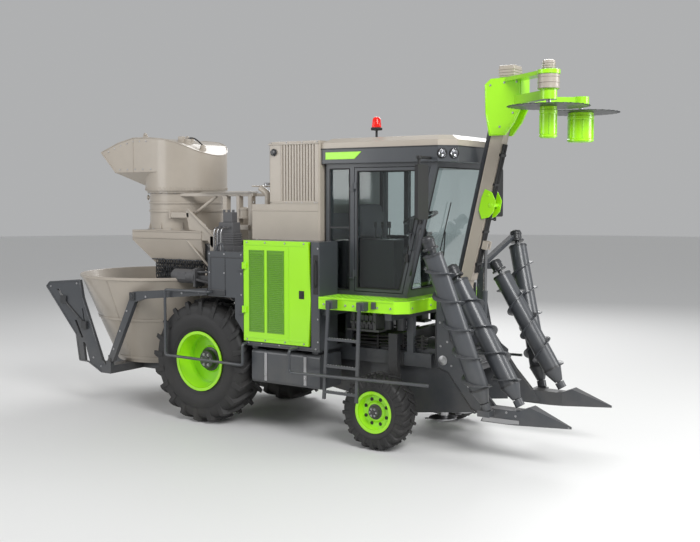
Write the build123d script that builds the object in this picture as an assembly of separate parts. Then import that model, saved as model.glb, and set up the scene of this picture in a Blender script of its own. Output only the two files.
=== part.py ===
from build123d import *

import math
import os
from typing import Callable, Iterable

# Wheeled chopper harvester for sugarcane. Lengths are in millimetres and angles in degrees.
# Stations (x) are measured forward from the rear axle, y to the machine's left and z up from
# the ground. The finished part is then moved so that its origin lies on the ground in the
# middle of its length.

# ---------------------------------------------------------------- driving dimensions
WHEELBASE = 2423.0

REAR_TYRE_R = 735.0
REAR_TYRE_W = 467.0
REAR_TRACK_HALF = 800.0
REAR_RIM_R = 356.0
FRONT_TYRE_R = 408.0
FRONT_TYRE_W = 300.0
FRONT_TRACK_HALF = 847.0
FRONT_RIM_R = 225.0
RUN_CLEARANCE = 0.05        # radial play of a shaft in its bore

THROAT_HALF = 430.0         # outside of the throat and feed channel walls
CHANNEL_WALL = 8.0
RAIL_W = 60.0
RAIL_TOP = 1000.0
RAIL_BOTTOM = 850.0
RAIL_REAR_X = -620.0
RAIL_FRONT_X = 2850.0

BODY_HALF = 1000.0          # outer face of the engine covers
BAY_X0 = 690.0
BAY_X1 = 1750.0
BAY_FLOOR_X0 = 730.0        # the bay's floor starts clear of the rear tyres
BAY_Z0 = 1040.0
BAY_Z1 = 2190.0
COVER_T = 40.0
COVER_GAP = 8.0
AIR_BOX_HALF = 700.0
AIR_BOX_X0 = 560.0
AIR_BOX_TOP = 2597.0
RADIATOR_X0 = 830.0
RADIATOR_TOP = 3310.0
BOX_REAR_X = 1540.0         # rear limit of the cab, front limit of the boxes behind it

CAB_HALF = 620.0
CAB_X0 = 1570.0
CAB_FLOOR_X1 = 2620.0
CAB_ROOF_X1 = 2980.0
CAB_Z0 = 1600.0
CAB_Z1 = 3050.0
CAB_WALL = 50.0
MULLION_X = 1920.0
GLASS_T = 6.0
DOOR_GAP = 8.0
ROOF_HALF = 660.0
ROOF_X0 = 1545.0
ROOF_SIDE_X1 = 3010.0
ROOF_CHAMFER = 155.0
ROOF_Z1 = 3330.0
DECK_HALF = 1020.0
DECK_X0 = BAY_X1
DECK_X1 = 2820.0
DECK_Z0 = 1470.0

EXTRACTOR_X = -1100.0
RING_R = 476.0
RING_Z0 = 2255.0
RING_Z1 = 2760.0
HOOD_R = 534.0
HOOD_LIP_TOP = (-1027.0, 512.0)     # the mouth's lips: along from the slewing axis, above the ring
HOOD_LIP_LOW = (-758.0, 243.0)
HOOD_GAP = 0.3
SHEET = 8.0

TUB_X = -1496.0
TUB_R_TOP = 1111.0
TUB_R_BOTTOM = 630.0
TUB_Z0 = 540.0
TUB_Z1 = 1671.0
CARRIER_REAR_X = -2690.0

BOOM_PIVOT = (3020.0, 0.0, 1680.0)
BOOM_LENGTH = 1890.0
BOOM_TILT = 13.1            # lean of the raised boom forward of upright
LINK_OFFSET = 100.0         # the levelling link's pins lie this far behind and above the boom's
ROTOR_X = 4130.0
ROTOR_SPREAD = 450.0
ROTOR_DISC_R = 410.0
ROTOR_DISC_Z = 3575.0

DIVIDER_PIVOT = (3000.0, 950.0)
OUTER_SCROLL_TOP = (3150.0, 1050.0, 2150.0)
OUTER_SCROLL_FOOT = (3600.0, 735.0, 600.0)
INNER_SCROLL_TOP = (3170.0, 530.0, 1840.0)
INNER_SCROLL_FOOT = (3880.0, 567.0, 640.0)
SCROLL_TUBE_R = 100.0
SCROLL_FLIGHT_R = 145.0
SCROLL_PITCH = 300.0
SHOE_TIP_X = 4464.0

SIDES = {"right": -1, "left": 1}

# The part's middle: halfway between the tub carrier's end and the front of the topper discs.
MIDDLE_X = (CARRIER_REAR_X + ROTOR_X + ROTOR_DISC_R) / 2

Point = tuple[float, float]
Point3 = tuple[float, float, float]


# ---------------------------------------------------------------- shape helpers
def block(x: tuple[float, float], y: tuple[float, float], z: tuple[float, float]) -> Part:
    """A box between two stations on each axis."""
    centre = ((x[0] + x[1]) / 2, (y[0] + y[1]) / 2, (z[0] + z[1]) / 2)
    return Pos(*centre) * Box(abs(x[1] - x[0]), abs(y[1] - y[0]), abs(z[1] - z[0]))


def side_band(side: int, inner: float, outer: float) -> tuple[float, float]:
    """The y stations of a band on one side of the machine, in rising order."""
    return tuple(sorted((side * inner, side * outer)))


def profile_y(outline: Iterable[Point], y: tuple[float, float]) -> Part:
    """A side view outline of (x, z) points, extruded across the machine."""
    face = make_face(Polyline(*[(px, y[0], pz) for px, pz in outline], close=True))
    return extrude(face, amount=y[1] - y[0], dir=(0, 1, 0))


def profile_z(outline: Iterable[Point], z: tuple[float, float]) -> Part:
    """A plan view outline of (x, y) points, extruded upwards."""
    face = make_face(Polyline(*[(px, py, z[0]) for px, py in outline], close=True))
    return extrude(face, amount=z[1] - z[0], dir=(0, 0, 1))


def rod(start: Point3, end: Point3, radius: float) -> Part:
    """A round bar from one point to another."""
    base, tip = Vector(*start), Vector(*end)
    plane = Plane(origin=base, z_dir=tip - base)
    return extrude(plane * Circle(radius), amount=(tip - base).length)


def beam(start: Point3, end: Point3, width: float, depth: float, across: Point3 = (0, 1, 0)) -> Part:
    """A rectangular bar: its width lies along the direction given in across."""
    base, tip = Vector(*start), Vector(*end)
    plane = Plane(origin=base, x_dir=Vector(*across), z_dir=tip - base)
    return extrude(plane * Rectangle(width, depth), amount=(tip - base).length)


def pipe(points: list[Point3], radius: float, bend: float) -> Part:
    """A round pipe along straight runs joined by bends of one radius."""
    path = FilletPolyline(*points, radius=bend)
    start = Vector(*points[0])
    section = Plane(origin=start, z_dir=Vector(*points[1]) - start) * Circle(radius)
    return sweep(section, path=path)


def turned_y(outline: Iterable[Point], x: float, z: float) -> Part:
    """A wheel-like solid: an outline of (radius, y) points turned about a crosswise axis."""
    face = make_face(Polyline(*[(x + r, y, z) for r, y in outline], close=True))
    return revolve(face, axis=Axis((x, 0, z), (0, 1, 0)), revolution_arc=360)


def turned_z(outline: Iterable[Point], x: float, y: float) -> Part:
    """A solid of revolution: an outline of (radius, z) points turned about an upright axis."""
    face = make_face(Polyline(*[(x + r, y, pz) for r, pz in outline], close=True))
    return revolve(face, axis=Axis((x, y, 0), (0, 0, 1)), revolution_arc=360)


def both_sides(make: Callable[[int], Part]) -> Part:
    """The right-hand and left-hand pieces of one part, in one shape."""
    return make(SIDES["right"]) + make(SIDES["left"])


# ---------------------------------------------------------------- chassis
RAIL_OUT = THROAT_HALF + RAIL_W
CAB_POST_X = (1790.0, 2590.0)
CAB_POST_W = 80.0
BEARER_X = (800.0, 1440.0)
OUTRIGGER_X = (800.0, 1640.0)
PLATFORM_Z0 = 440.0
ENGINE_Z0 = 1560.0


def chassis_frame() -> Part:
    """Two side rails with outriggers, cab posts and engine supports."""
    def one_side(side: int) -> Part:
        frame = block((RAIL_REAR_X, RAIL_FRONT_X), side_band(side, THROAT_HALF, RAIL_OUT),
                      (RAIL_BOTTOM, RAIL_TOP))
        for x in CAB_POST_X:
            frame += block((x - CAB_POST_W / 2, x + CAB_POST_W / 2),
                           side_band(side, THROAT_HALF, RAIL_OUT),
                           (RAIL_TOP, DECK_Z0 - CAB_POST_W))
        for x in OUTRIGGER_X:
            frame += block((x - 40, x + 40), side_band(side, RAIL_OUT, BODY_HALF - 70),
                           (RAIL_TOP - 50, RAIL_TOP))
        for x in BEARER_X:
            frame += block((x - 40, x + 40), side_band(side, THROAT_HALF, RAIL_OUT),
                           (RAIL_TOP, ENGINE_Z0 - 60))
        return frame

    frame = both_sides(one_side)
    for x in CAB_POST_X:
        frame += block((x - CAB_POST_W / 2, x + CAB_POST_W / 2), (-DECK_HALF + 70, DECK_HALF - 70),
                       (DECK_Z0 - CAB_POST_W, DECK_Z0))
    for x in BEARER_X:
        frame += block((x - 40, x + 40), (-RAIL_OUT, RAIL_OUT), (ENGINE_Z0 - 60, ENGINE_Z0))
    frame += block((RAIL_REAR_X, RAIL_REAR_X + 80), (-THROAT_HALF, THROAT_HALF), (RAIL_BOTTOM, RAIL_TOP))
    return frame


def engine_block() -> Part:
    """The engine's mass as one plain block on its bearers."""
    return block((BEARER_X[0] - 60, BEARER_X[1] + 60), (-340, 340), (ENGINE_Z0, ENGINE_Z0 + 560))


def rear_axle() -> Part:
    """Axle housing with hub drums and wheel spindles."""
    housing = block((-100, 100), (-470, 470), (RAIL_BOTTOM - 230, RAIL_BOTTOM))
    housing = fillet(housing.edges().filter_by(Axis.Y), 30)

    def one_side(side: int) -> Part:
        inner = side * (REAR_TRACK_HALF - REAR_TYRE_W / 2 - 60)
        face = side * (REAR_TRACK_HALF - 60)
        hub = rod((0, side * 465, REAR_TYRE_R), (0, inner, REAR_TYRE_R), 110)
        hub += rod((0, inner, REAR_TYRE_R), (0, face, REAR_TYRE_R), 95)
        hub += rod((0, face, REAR_TYRE_R), (0, side * (REAR_TRACK_HALF + 45), REAR_TYRE_R),
                   REAR_SPINDLE_R - RUN_CLEARANCE)
        return hub

    return housing + both_sides(one_side)


REAR_SPINDLE_R = 70.0
FRONT_SPINDLE_R = 38.0
KINGPIN_HALF = 640.0
KINGPIN_R = 25.0
AXLE_LEG_IN = 505.0
AXLE_LEG_OUT = 575.0
BOSS_R = 45.0
BOSS_HALF_H = 80.0
AXLE_BEAM_Z = (1080.0, 1200.0)


def front_axle() -> Part:
    """Arched axle over the throat, with a kingpin boss at the foot of each leg."""
    def one_side(side: int) -> Part:
        leg = block((WHEELBASE - 55, WHEELBASE + 55), side_band(side, AXLE_LEG_IN, AXLE_LEG_OUT),
                    (FRONT_TYRE_R - 60, AXLE_BEAM_Z[1]))
        arm = block((WHEELBASE - 35, WHEELBASE + 35), side_band(side, AXLE_LEG_OUT, KINGPIN_HALF),
                    (FRONT_TYRE_R - 60, FRONT_TYRE_R + 60))
        pad = block((WHEELBASE - 90, WHEELBASE + 90), side_band(side, RAIL_OUT, AXLE_LEG_IN),
                    (RAIL_BOTTOM, RAIL_TOP))
        centre = (WHEELBASE, side * KINGPIN_HALF)
        boss = rod((*centre, FRONT_TYRE_R - BOSS_HALF_H), (*centre, FRONT_TYRE_R + BOSS_HALF_H), BOSS_R)
        bore = rod((*centre, FRONT_TYRE_R - BOSS_HALF_H), (*centre, FRONT_TYRE_R + BOSS_HALF_H),
                   KINGPIN_R)
        return leg + arm + pad + boss - bore

    top = block((WHEELBASE - 55, WHEELBASE + 55), (-AXLE_LEG_OUT, AXLE_LEG_OUT), AXLE_BEAM_Z)
    return both_sides(one_side) + top


FORK_GAP = 6.0
FORK_T = 24.0
FORK_WEB_HALF = KINGPIN_HALF + BOSS_R + 9


def steering_knuckle(side: int) -> Part:
    """Forked knuckle with its kingpin and wheel spindle."""
    low = FRONT_TYRE_R - BOSS_HALF_H - FORK_GAP
    high = FRONT_TYRE_R + BOSS_HALF_H + FORK_GAP
    web = block((WHEELBASE - 40, WHEELBASE + 40), side_band(side, FORK_WEB_HALF, FORK_WEB_HALF + 25),
                (low - FORK_T, high + FORK_T))
    body = web
    for z in ((low - FORK_T, low), (high, high + FORK_T)):
        body += block((WHEELBASE - 40, WHEELBASE + 40), side_band(side, KINGPIN_HALF, FORK_WEB_HALF), z)
        body += rod((WHEELBASE, side * KINGPIN_HALF, z[0]), (WHEELBASE, side * KINGPIN_HALF, z[1]), 40)
    body += rod((WHEELBASE, side * KINGPIN_HALF, low), (WHEELBASE, side * KINGPIN_HALF, high),
                KINGPIN_R - RUN_CLEARANCE)
    web_face = FORK_WEB_HALF + 25
    body += rod((WHEELBASE, side * web_face, FRONT_TYRE_R),
                (WHEELBASE, side * (web_face + 60), FRONT_TYRE_R), 62)
    body += rod((WHEELBASE, side * (web_face + 60), FRONT_TYRE_R), (WHEELBASE, side * 930, FRONT_TYRE_R),
                FRONT_SPINDLE_R - RUN_CLEARANCE)
    return body


def wheel_rim(side: int, x: float, tyre_r: float, track: float, width: float, rim_r: float,
              dish: float, disc_r: float, spindle_r: float, cap_r: float, cap_len: float) -> Part:
    """A pressed rim: well, flanges, wheel disc and a hub cap over the spindle's end."""
    half = width * 0.44
    seat = rim_r - 22
    well = [(seat - 12, -half), (rim_r, -half), (rim_r, -half + 14), (seat, -half + 22),
            (seat - 40, -half * 0.35), (seat - 40, half * 0.2), (seat, half - 22), (rim_r, half - 14),
            (rim_r, half), (seat - 12, half), (seat - 12, half - 18), (seat - 52, half * 0.2 + 6),
            (seat - 52, -half * 0.35 - 6), (seat - 12, -half + 18)]
    barrel = turned_y([(r, side * (track + y)) for r, y in well], x, tyre_r)
    face = track + half - dish
    disc = [(0, face - 16), (disc_r, face - 16), (disc_r, face), (cap_r + 60, face),
            (cap_r + 40, face + 18), (cap_r, face + 18), (cap_r, face + 18 + cap_len),
            (cap_r * 0.8, face + 30 + cap_len), (0, face + 30 + cap_len)]
    hub = turned_y([(r, side * y) for r, y in disc], x, tyre_r)
    bore = rod((x, side * (face - 30), tyre_r), (x, side * (face + 14 + cap_len), tyre_r), spindle_r)
    return barrel + hub - bore


def wheel_tyre(side: int, x: float, tyre_r: float, track: float, width: float, rim_r: float) -> Part:
    """A tyre seated between the rim's flanges."""
    half = width / 2
    seat = rim_r - 22
    bead = width * 0.44 - 22
    wall = (tyre_r - seat)
    outline = [(seat, -bead), (rim_r + 6, -bead - 4), (seat + wall * 0.35, -half + 8),
               (seat + wall * 0.55, -half),
               (seat + wall * 0.8, -half + 6), (tyre_r - wall * 0.07, -half + 26), (tyre_r - 8,
                                                                                    -half + 52),
               (tyre_r, -half * 0.4), (tyre_r, half * 0.4), (tyre_r - 8, half - 52),
               (tyre_r - wall * 0.07, half - 26), (seat + wall * 0.8, half - 6), (seat + wall * 0.55,
                                                                                  half),
               (seat + wall * 0.35, half - 8), (rim_r + 6, bead + 4), (seat, bead)]
    return turned_y([(r, side * (track + y)) for r, y in outline], x, tyre_r)


REAR_WHEEL = dict(x=0.0, tyre_r=REAR_TYRE_R, track=REAR_TRACK_HALF, width=REAR_TYRE_W, rim_r=REAR_RIM_R)
FRONT_WHEEL = dict(x=WHEELBASE, tyre_r=FRONT_TYRE_R, track=FRONT_TRACK_HALF, width=FRONT_TYRE_W,
                   rim_r=FRONT_RIM_R)
REAR_DISH = dict(dish=225.0, disc_r=289.0, spindle_r=REAR_SPINDLE_R, cap_r=105.0, cap_len=60.0)
FRONT_DISH = dict(dish=66.0, disc_r=172.0, spindle_r=FRONT_SPINDLE_R, cap_r=58.0, cap_len=30.0)


# ---------------------------------------------------------------- feed channel and throat
MOUTH_X = -400.0            # where the channel opens into the extractor chamber
MOUTH_Z = (1810.0, 2100.0)
THROAT_REAR_X = 2050.0
CHAMBER_Z0 = 1800.0
COLLAR_Z0 = 2130.0


def channel_outline(inset: float) -> list[Point]:
    """Side view of the feed channel; a positive inset gives the inside, run past both mouths."""
    run = 40.0 if inset else 0.0
    mouth = [(MOUTH_X, MOUTH_Z[0] + inset), (MOUTH_X - run, MOUTH_Z[0] + inset),
             (MOUTH_X - run, MOUTH_Z[1] - inset), (MOUTH_X, MOUTH_Z[1] - inset)]
    return [(THROAT_REAR_X + run, 420 + inset), (1150, 560 + inset), (620, 900 + inset),
            *(mouth if inset else mouth[1:3]),
            (430, 1490 - inset), (1000, 1290 - inset), (THROAT_REAR_X + run, 1050 - inset)]


def feed_channel() -> Part:
    """Closed sheet channel that carries the billets from the throat up to the extractor."""
    inner = THROAT_HALF - CHANNEL_WALL
    outside = profile_y(channel_outline(0), (-THROAT_HALF, THROAT_HALF))
    return outside - profile_y(channel_outline(CHANNEL_WALL), (-inner, inner))


CUTTER_X = 2850.0
CUTTER_Y = 215.0
CUTTER_SHAFT_R = 40.0
CUTTER_BEAM_Z = (900.0, 1050.0)
ROLLER_X = 3180.0
ROLLER_Z = 900.0
ROLLER_SHAFT_R = 30.0
DIVIDER_PIN_R = 35.0
PEDESTAL_X = (2830.0, 3080.0)
PEDESTAL_HALF = 150.0
LUG_IN = 95.0
LUG_OUT = 120.0
BOOM_PIN_R = 28.0
CYLINDER_FOOT = (3230.0, 0.0, 1130.0)
CYLINDER_PIN_R = 18.0


def front_frame() -> Part:
    """Throat walls, base cutter gearbox beam, boom pedestal and divider pivots."""
    outline = [(THROAT_REAR_X, 430), (2600, 330), (3330, 420), (3330, 980), (3230, 1050),
               (THROAT_REAR_X, 1050)]

    def one_side(side: int) -> Part:
        wall = profile_y(outline, side_band(side, THROAT_HALF - 10, THROAT_HALF))
        pin = rod((DIVIDER_PIVOT[0], side * THROAT_HALF, DIVIDER_PIVOT[1]),
                  (DIVIDER_PIVOT[0], side * DIVIDER_PLATE[1],
                   DIVIDER_PIVOT[1]), DIVIDER_PIN_R - RUN_CLEARANCE)
        collar = rod((DIVIDER_PIVOT[0], side * THROAT_HALF, DIVIDER_PIVOT[1]),
                     (DIVIDER_PIVOT[0], side * (DIVIDER_PLATE[0] - 6),
                      DIVIDER_PIVOT[1]), DIVIDER_PIN_R + 20)
        lug = block((PEDESTAL_X[0] + 20, BOOM_PIVOT[0] + 60), side_band(side, LUG_IN, LUG_OUT),
                    (1560, BOOM_PIVOT[2] + 60))
        ear = block((PEDESTAL_X[1], CYLINDER_FOOT[0] + 40), side_band(side, 34, 54),
                    (CYLINDER_FOOT[2] - 45, CYLINDER_FOOT[2] + 40))
        return wall + pin + collar + lug + ear

    frame = both_sides(one_side)
    bore_r = ROLLER_SHAFT_R
    for side in SIDES.values():
        frame -= rod((ROLLER_X, side * (THROAT_HALF - 20), ROLLER_Z),
                     (ROLLER_X, side * (THROAT_HALF + 10), ROLLER_Z),
                     bore_r)
    frame += block((THROAT_REAR_X, 3230), (-THROAT_HALF + 10, THROAT_HALF - 10), (1042, 1050))
    gearbox = block((CUTTER_X - 110, CUTTER_X + 110), (-THROAT_HALF + 10, THROAT_HALF - 10),
                    (CUTTER_BEAM_Z[0], 1042))
    for side in SIDES.values():
        gearbox -= rod((CUTTER_X, side * CUTTER_Y, CUTTER_BEAM_Z[0] - 10),
                       (CUTTER_X, side * CUTTER_Y, 1020),
                       CUTTER_SHAFT_R)
    frame += gearbox
    pedestal = block(PEDESTAL_X, (-PEDESTAL_HALF, PEDESTAL_HALF), (1050, 1560))
    pedestal -= block((PEDESTAL_X[0] + 12, PEDESTAL_X[1] - 12), (-PEDESTAL_HALF + 12, PEDESTAL_HALF - 12),
                      (1040, 1548))
    frame += pedestal
    frame += rod((BOOM_PIVOT[0], -LUG_OUT, BOOM_PIVOT[2]), (BOOM_PIVOT[0], LUG_OUT, BOOM_PIVOT[2]),
                 BOOM_PIN_R - RUN_CLEARANCE)
    frame += rod((CYLINDER_FOOT[0], -54, CYLINDER_FOOT[2]), (CYLINDER_FOOT[0], 54, CYLINDER_FOOT[2]),
                 CYLINDER_PIN_R - RUN_CLEARANCE)
    lower = link_pivot()
    for side in SIDES.values():
        frame += beam((PEDESTAL_X[0] + 40, side * (LUG_IN - 40), 1550),
                      (lower[0], side * (LUG_IN - 40), lower[2] + 30),
                      20, 60)
    frame += rod((lower[0], -LUG_IN + 30, lower[2]), (lower[0], LUG_IN - 30, lower[2]),
                 18 - RUN_CLEARANCE)
    return frame


def base_cutter(side: int) -> Part:
    """Cutting disc with blades on its upright shaft."""
    x, y = CUTTER_X, side * CUTTER_Y
    cutter = rod((x, y, 250), (x, y, 1010), CUTTER_SHAFT_R - RUN_CLEARANCE)
    cutter += rod((x, y, 285), (x, y, 880), 62)
    cutter += turned_z([(0, 262), (150, 262), (150, 274), (62, 300), (0, 300)], x, y)
    for k in range(5):
        cutter += Pos(x, y, 259) * Rot(0, 0, 72 * k) * Pos(143, 0, 0) * Box(104, 60, 6)
    return cutter


def knockdown_roller() -> Part:
    """Ribbed roller across the throat's mouth."""
    half = THROAT_HALF - 10 - 12
    roller = rod((ROLLER_X, -THROAT_HALF, ROLLER_Z), (ROLLER_X, THROAT_HALF, ROLLER_Z),
                 ROLLER_SHAFT_R - RUN_CLEARANCE)
    roller += rod((ROLLER_X, -half, ROLLER_Z), (ROLLER_X, half, ROLLER_Z), 75)
    for k in range(6):
        roller += Pos(ROLLER_X, 0, ROLLER_Z) * Rot(0, 60 * k, 0) * Pos(90, 0, 0) * Box(40, 2 * half, 10)
    return roller


# ---------------------------------------------------------------- engine bay and tanks
LEDGE_HALF = BODY_HALF - COVER_T - COVER_GAP
SIDE_BOX_X0 = 150.0
SIDE_BOX_TOP = 2050.0
SIDE_BOX_IN = 600.0
ARCH_R = REAR_TYRE_R + 50
TANK_X = (790.0, 1740.0)


def engine_bay() -> Part:
    """Floor strips, bulkheads and top plate around the engine, notched for the cab's rear."""
    plate = 10.0
    notch = CAB_HALF + 30
    top = BAY_Z1 - plate
    bay = block((BAY_X0, BOX_REAR_X), (-notch, notch), (top, BAY_Z1))
    bay += block((BAY_X0, BAY_X0 + plate), (-RAIL_OUT, RAIL_OUT), (ENGINE_Z0, top))
    bay += block((BOX_REAR_X - plate, BOX_REAR_X), (-notch, notch), (ENGINE_Z0, top))
    for side in SIDES.values():
        outer = side_band(side, RAIL_OUT, LEDGE_HALF)
        bay += block((BAY_FLOOR_X0, BAY_X1), outer, (RAIL_TOP, BAY_Z0))
        bay += block((BAY_X0, BAY_X0 + plate), outer, (BAY_Z0 + 10, top))
        bay += block((BAY_X0, BAY_FLOOR_X0 + plate), outer, (BAY_Z0, BAY_Z0 + 10))
        bay += block((BAY_X0, BAY_X1), side_band(side, notch, LEDGE_HALF), (top, BAY_Z1))
        bay += block((BAY_X1 - plate, BAY_X1), side_band(side, notch, LEDGE_HALF), (BAY_Z0, top))
        bay += block((BOX_REAR_X - plate, BAY_X1), side_band(side, notch, notch + plate), (BAY_Z0, top))
    return bay


HINGE_R = 10.0
HINGE_PIN_R = 5.0
HINGE_HALF = 40.0
EAR_DEPTH = 20.0
COVER_HINGE = (BAY_X0 - COVER_GAP / 2, BODY_HALF + 12)
COVER_HINGE_Z = (1400.0, 1900.0)


def hinge_ear(side: int, axis: Point, z: float, seat: Point) -> Part:
    """Fixed half of a hinge: an ear under the barrel, from its seat, with the upright pin."""
    x, y = axis[0], side * axis[1]
    low, high = z - HINGE_HALF - EAR_DEPTH, z - HINGE_HALF - 1
    ear = block((seat[0], x), side_band(side, seat[1], axis[1] + HINGE_R), (low, high))
    ear += rod((x, y, low), (x, y, high), HINGE_R)
    return ear + rod((x, y, low + EAR_DEPTH / 2), (x, y, z + HINGE_HALF - 5), HINGE_PIN_R - RUN_CLEARANCE)


def hinge_barrel(side: int, axis: Point, z: float, leaf_end: float, face: float, clear: float) -> Part:
    """Moving half of a hinge: a bored barrel with a leaf that reaches the panel's face."""
    x, y = axis[0], side * axis[1]
    half = HINGE_HALF - 4
    leaf = block((x, leaf_end), side_band(side, face + 4, axis[1] + 4), (z - half, z + half))
    pad = block((clear, leaf_end), side_band(side, face, face + 4), (z - half, z + half))
    barrel = rod((x, y, z - HINGE_HALF), (x, y, z + HINGE_HALF), HINGE_R)
    return leaf + pad + barrel - rod((x, y, z - HINGE_HALF - 5), (x, y, z + HINGE_HALF - 2), HINGE_PIN_R)


def side_panel(side: int) -> Part:
    """Dark outer panel: box over the rear wheel, sill under the cover and strip behind the cab."""
    panel = block((SIDE_BOX_X0, BAY_X0), side_band(side, SIDE_BOX_IN, LEDGE_HALF), (1520, SIDE_BOX_TOP))
    panel += block((SIDE_BOX_X0, BAY_X0 - COVER_GAP), side_band(side, LEDGE_HALF, BODY_HALF),
                   (1520, SIDE_BOX_TOP))
    panel += block((BAY_X0 - 130, BAY_X0), side_band(side, LEDGE_HALF - 60, LEDGE_HALF), (1000, 1520))
    panel += block((BAY_X0 - 130, BAY_X0 - COVER_GAP), side_band(side, LEDGE_HALF, BODY_HALF),
                   (1000, 1520))
    panel += block((BAY_X0 - 60, BAY_X1), side_band(side, LEDGE_HALF, BODY_HALF),
                   (990, BAY_Z0 - COVER_GAP))
    panel -= rod((0, side * (SIDE_BOX_IN - 20), REAR_TYRE_R), (0, side * (BODY_HALF + 20), REAR_TYRE_R),
                 ARCH_R)
    panel += block((BAY_X1 - 110, BAY_X1), side_band(side, LEDGE_HALF, BODY_HALF),
                   (BAY_Z0 - COVER_GAP, BAY_Z1))
    for z in COVER_HINGE_Z:
        panel += hinge_ear(side, COVER_HINGE, z, (BAY_X0 - 60, BODY_HALF))
    return panel


COVER_OUTLINE = [(BAY_X0, BAY_Z0), (BAY_X1 - 150, BAY_Z0), (BAY_X1 - 118, 1550), (BAY_X1 - 150, BAY_Z1),
                 (BAY_X0, BAY_Z1)]
GRILLE_X = ((770.0, 990.0), (1030.0, 1270.0))
GRILLE_Z = (1150.0, 2080.0)


def engine_cover(side: int) -> Part:
    """Side cover of the engine bay: a tray with two grille panels."""
    cover = profile_y(COVER_OUTLINE, side_band(side, BODY_HALF - COVER_T, BODY_HALF))
    cover -= block((BAY_X0 + 30, BAY_X1 - 190), side_band(side, BODY_HALF - COVER_T - 5, BODY_HALF - 12),
                   (BAY_Z0 + 30, BAY_Z1 - 30))
    for x in GRILLE_X:
        cover -= block(x, side_band(side, BODY_HALF - 4, BODY_HALF + 5), GRILLE_Z)
    for z in COVER_HINGE_Z:
        cover += hinge_barrel(side, COVER_HINGE, z, BAY_X0 + 50, BODY_HALF, BAY_X0 + 4)
    return cover


def tank(side: int, z: tuple[float, float]) -> Part:
    """Tank slung under the outriggers, with strap grooves."""
    body = block(TANK_X, side_band(side, RAIL_OUT + 70, BODY_HALF - 20), z)
    body = fillet(body.edges().filter_by(Axis.X), 45)
    for x in (TANK_X[0] + 200, TANK_X[1] - 200):
        strap = block((x - 25, x + 25), side_band(side, RAIL_OUT + 60, BODY_HALF), (z[0] - 10, z[1] + 10))
        core = block((x - 30, x + 30), side_band(side, RAIL_OUT + 76, BODY_HALF - 26),
                     (z[0] + 6, z[1] - 6))
        body -= strap - core
    return body


def air_box() -> Part:
    """Intake box over the engine bay, with the exhaust pipe at its rear edge."""
    outer = block((AIR_BOX_X0, BOX_REAR_X), (-AIR_BOX_HALF, AIR_BOX_HALF), (BAY_Z1, AIR_BOX_TOP))
    outer = fillet(outer.edges().filter_by(Axis.Z), 25)
    x, y = RADIATOR_X0 - 110, -AIR_BOX_HALF + 120
    exhaust = pipe([(x, y, AIR_BOX_TOP), (x, y, AIR_BOX_TOP + 120), (x - 110, y, AIR_BOX_TOP + 190)], 38,
                   60)
    return outer + exhaust


RIB_DEPTH = 14.0


def radiator_box() -> Part:
    """Cooler housing with upright ribs on its sides."""
    x0, x1 = RADIATOR_X0, BOX_REAR_X
    outer = block((x0, x1), (-AIR_BOX_HALF, AIR_BOX_HALF), (AIR_BOX_TOP, RADIATOR_TOP))
    outer = fillet(outer.edges().filter_by(Axis.Z), 20)
    first = x0 + (x1 - x0) * 0.27
    count = 12
    step = (x1 - 40 - first) / count
    for side in SIDES.values():
        for k in range(count):
            x = first + k * step
            outer -= block((x, x + step * 0.4),
                           side_band(side, AIR_BOX_HALF - RIB_DEPTH, AIR_BOX_HALF + 5),
                           (AIR_BOX_TOP + 40, RADIATOR_TOP - 40))
    return outer


# ---------------------------------------------------------------- cab
def cab_outline(inset: float) -> list[Point]:
    """Side view of the cab, moved in by the same amount all round."""
    lean = (CAB_ROOF_X1 - CAB_FLOOR_X1) / (CAB_Z1 - CAB_Z0)
    front = inset * math.sqrt(1 + lean ** 2)
    return [(CAB_X0 + inset, CAB_Z0 + inset), (CAB_FLOOR_X1 + lean * inset - front, CAB_Z0 + inset),
            (CAB_ROOF_X1 - lean * inset - front, CAB_Z1 - inset), (CAB_X0 + inset, CAB_Z1 - inset)]


def front_x(z: float, inset: float = 0.0) -> float:
    """Station of the cab's leaning front at a height."""
    lean = (CAB_ROOF_X1 - CAB_FLOOR_X1) / (CAB_Z1 - CAB_Z0)
    return CAB_FLOOR_X1 + lean * (z - CAB_Z0) - inset * math.sqrt(1 + lean ** 2)


SILL_Z = CAB_Z0 + 40
HEAD_Z = CAB_Z1 - 45
PILLAR = 60.0
DOOR_X0 = MULLION_X + 30


def side_opening(grow: float) -> list[Point]:
    """The doorway in the cab's side; grow makes it larger all round."""
    return [(DOOR_X0 - grow, SILL_Z - grow), (front_x(SILL_Z - grow, PILLAR - grow), SILL_Z - grow),
            (front_x(HEAD_Z + grow, PILLAR - grow), HEAD_Z + grow), (DOOR_X0 - grow, HEAD_Z + grow)]


DOOR_HINGE = (DOOR_X0, CAB_HALF + 14)
DOOR_HINGE_Z = (SILL_Z + 200, HEAD_Z - 200)
REAR_PANE_X = (CAB_X0 + 60, MULLION_X - 30)
GLASS_SETBACK = 20.0


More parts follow.
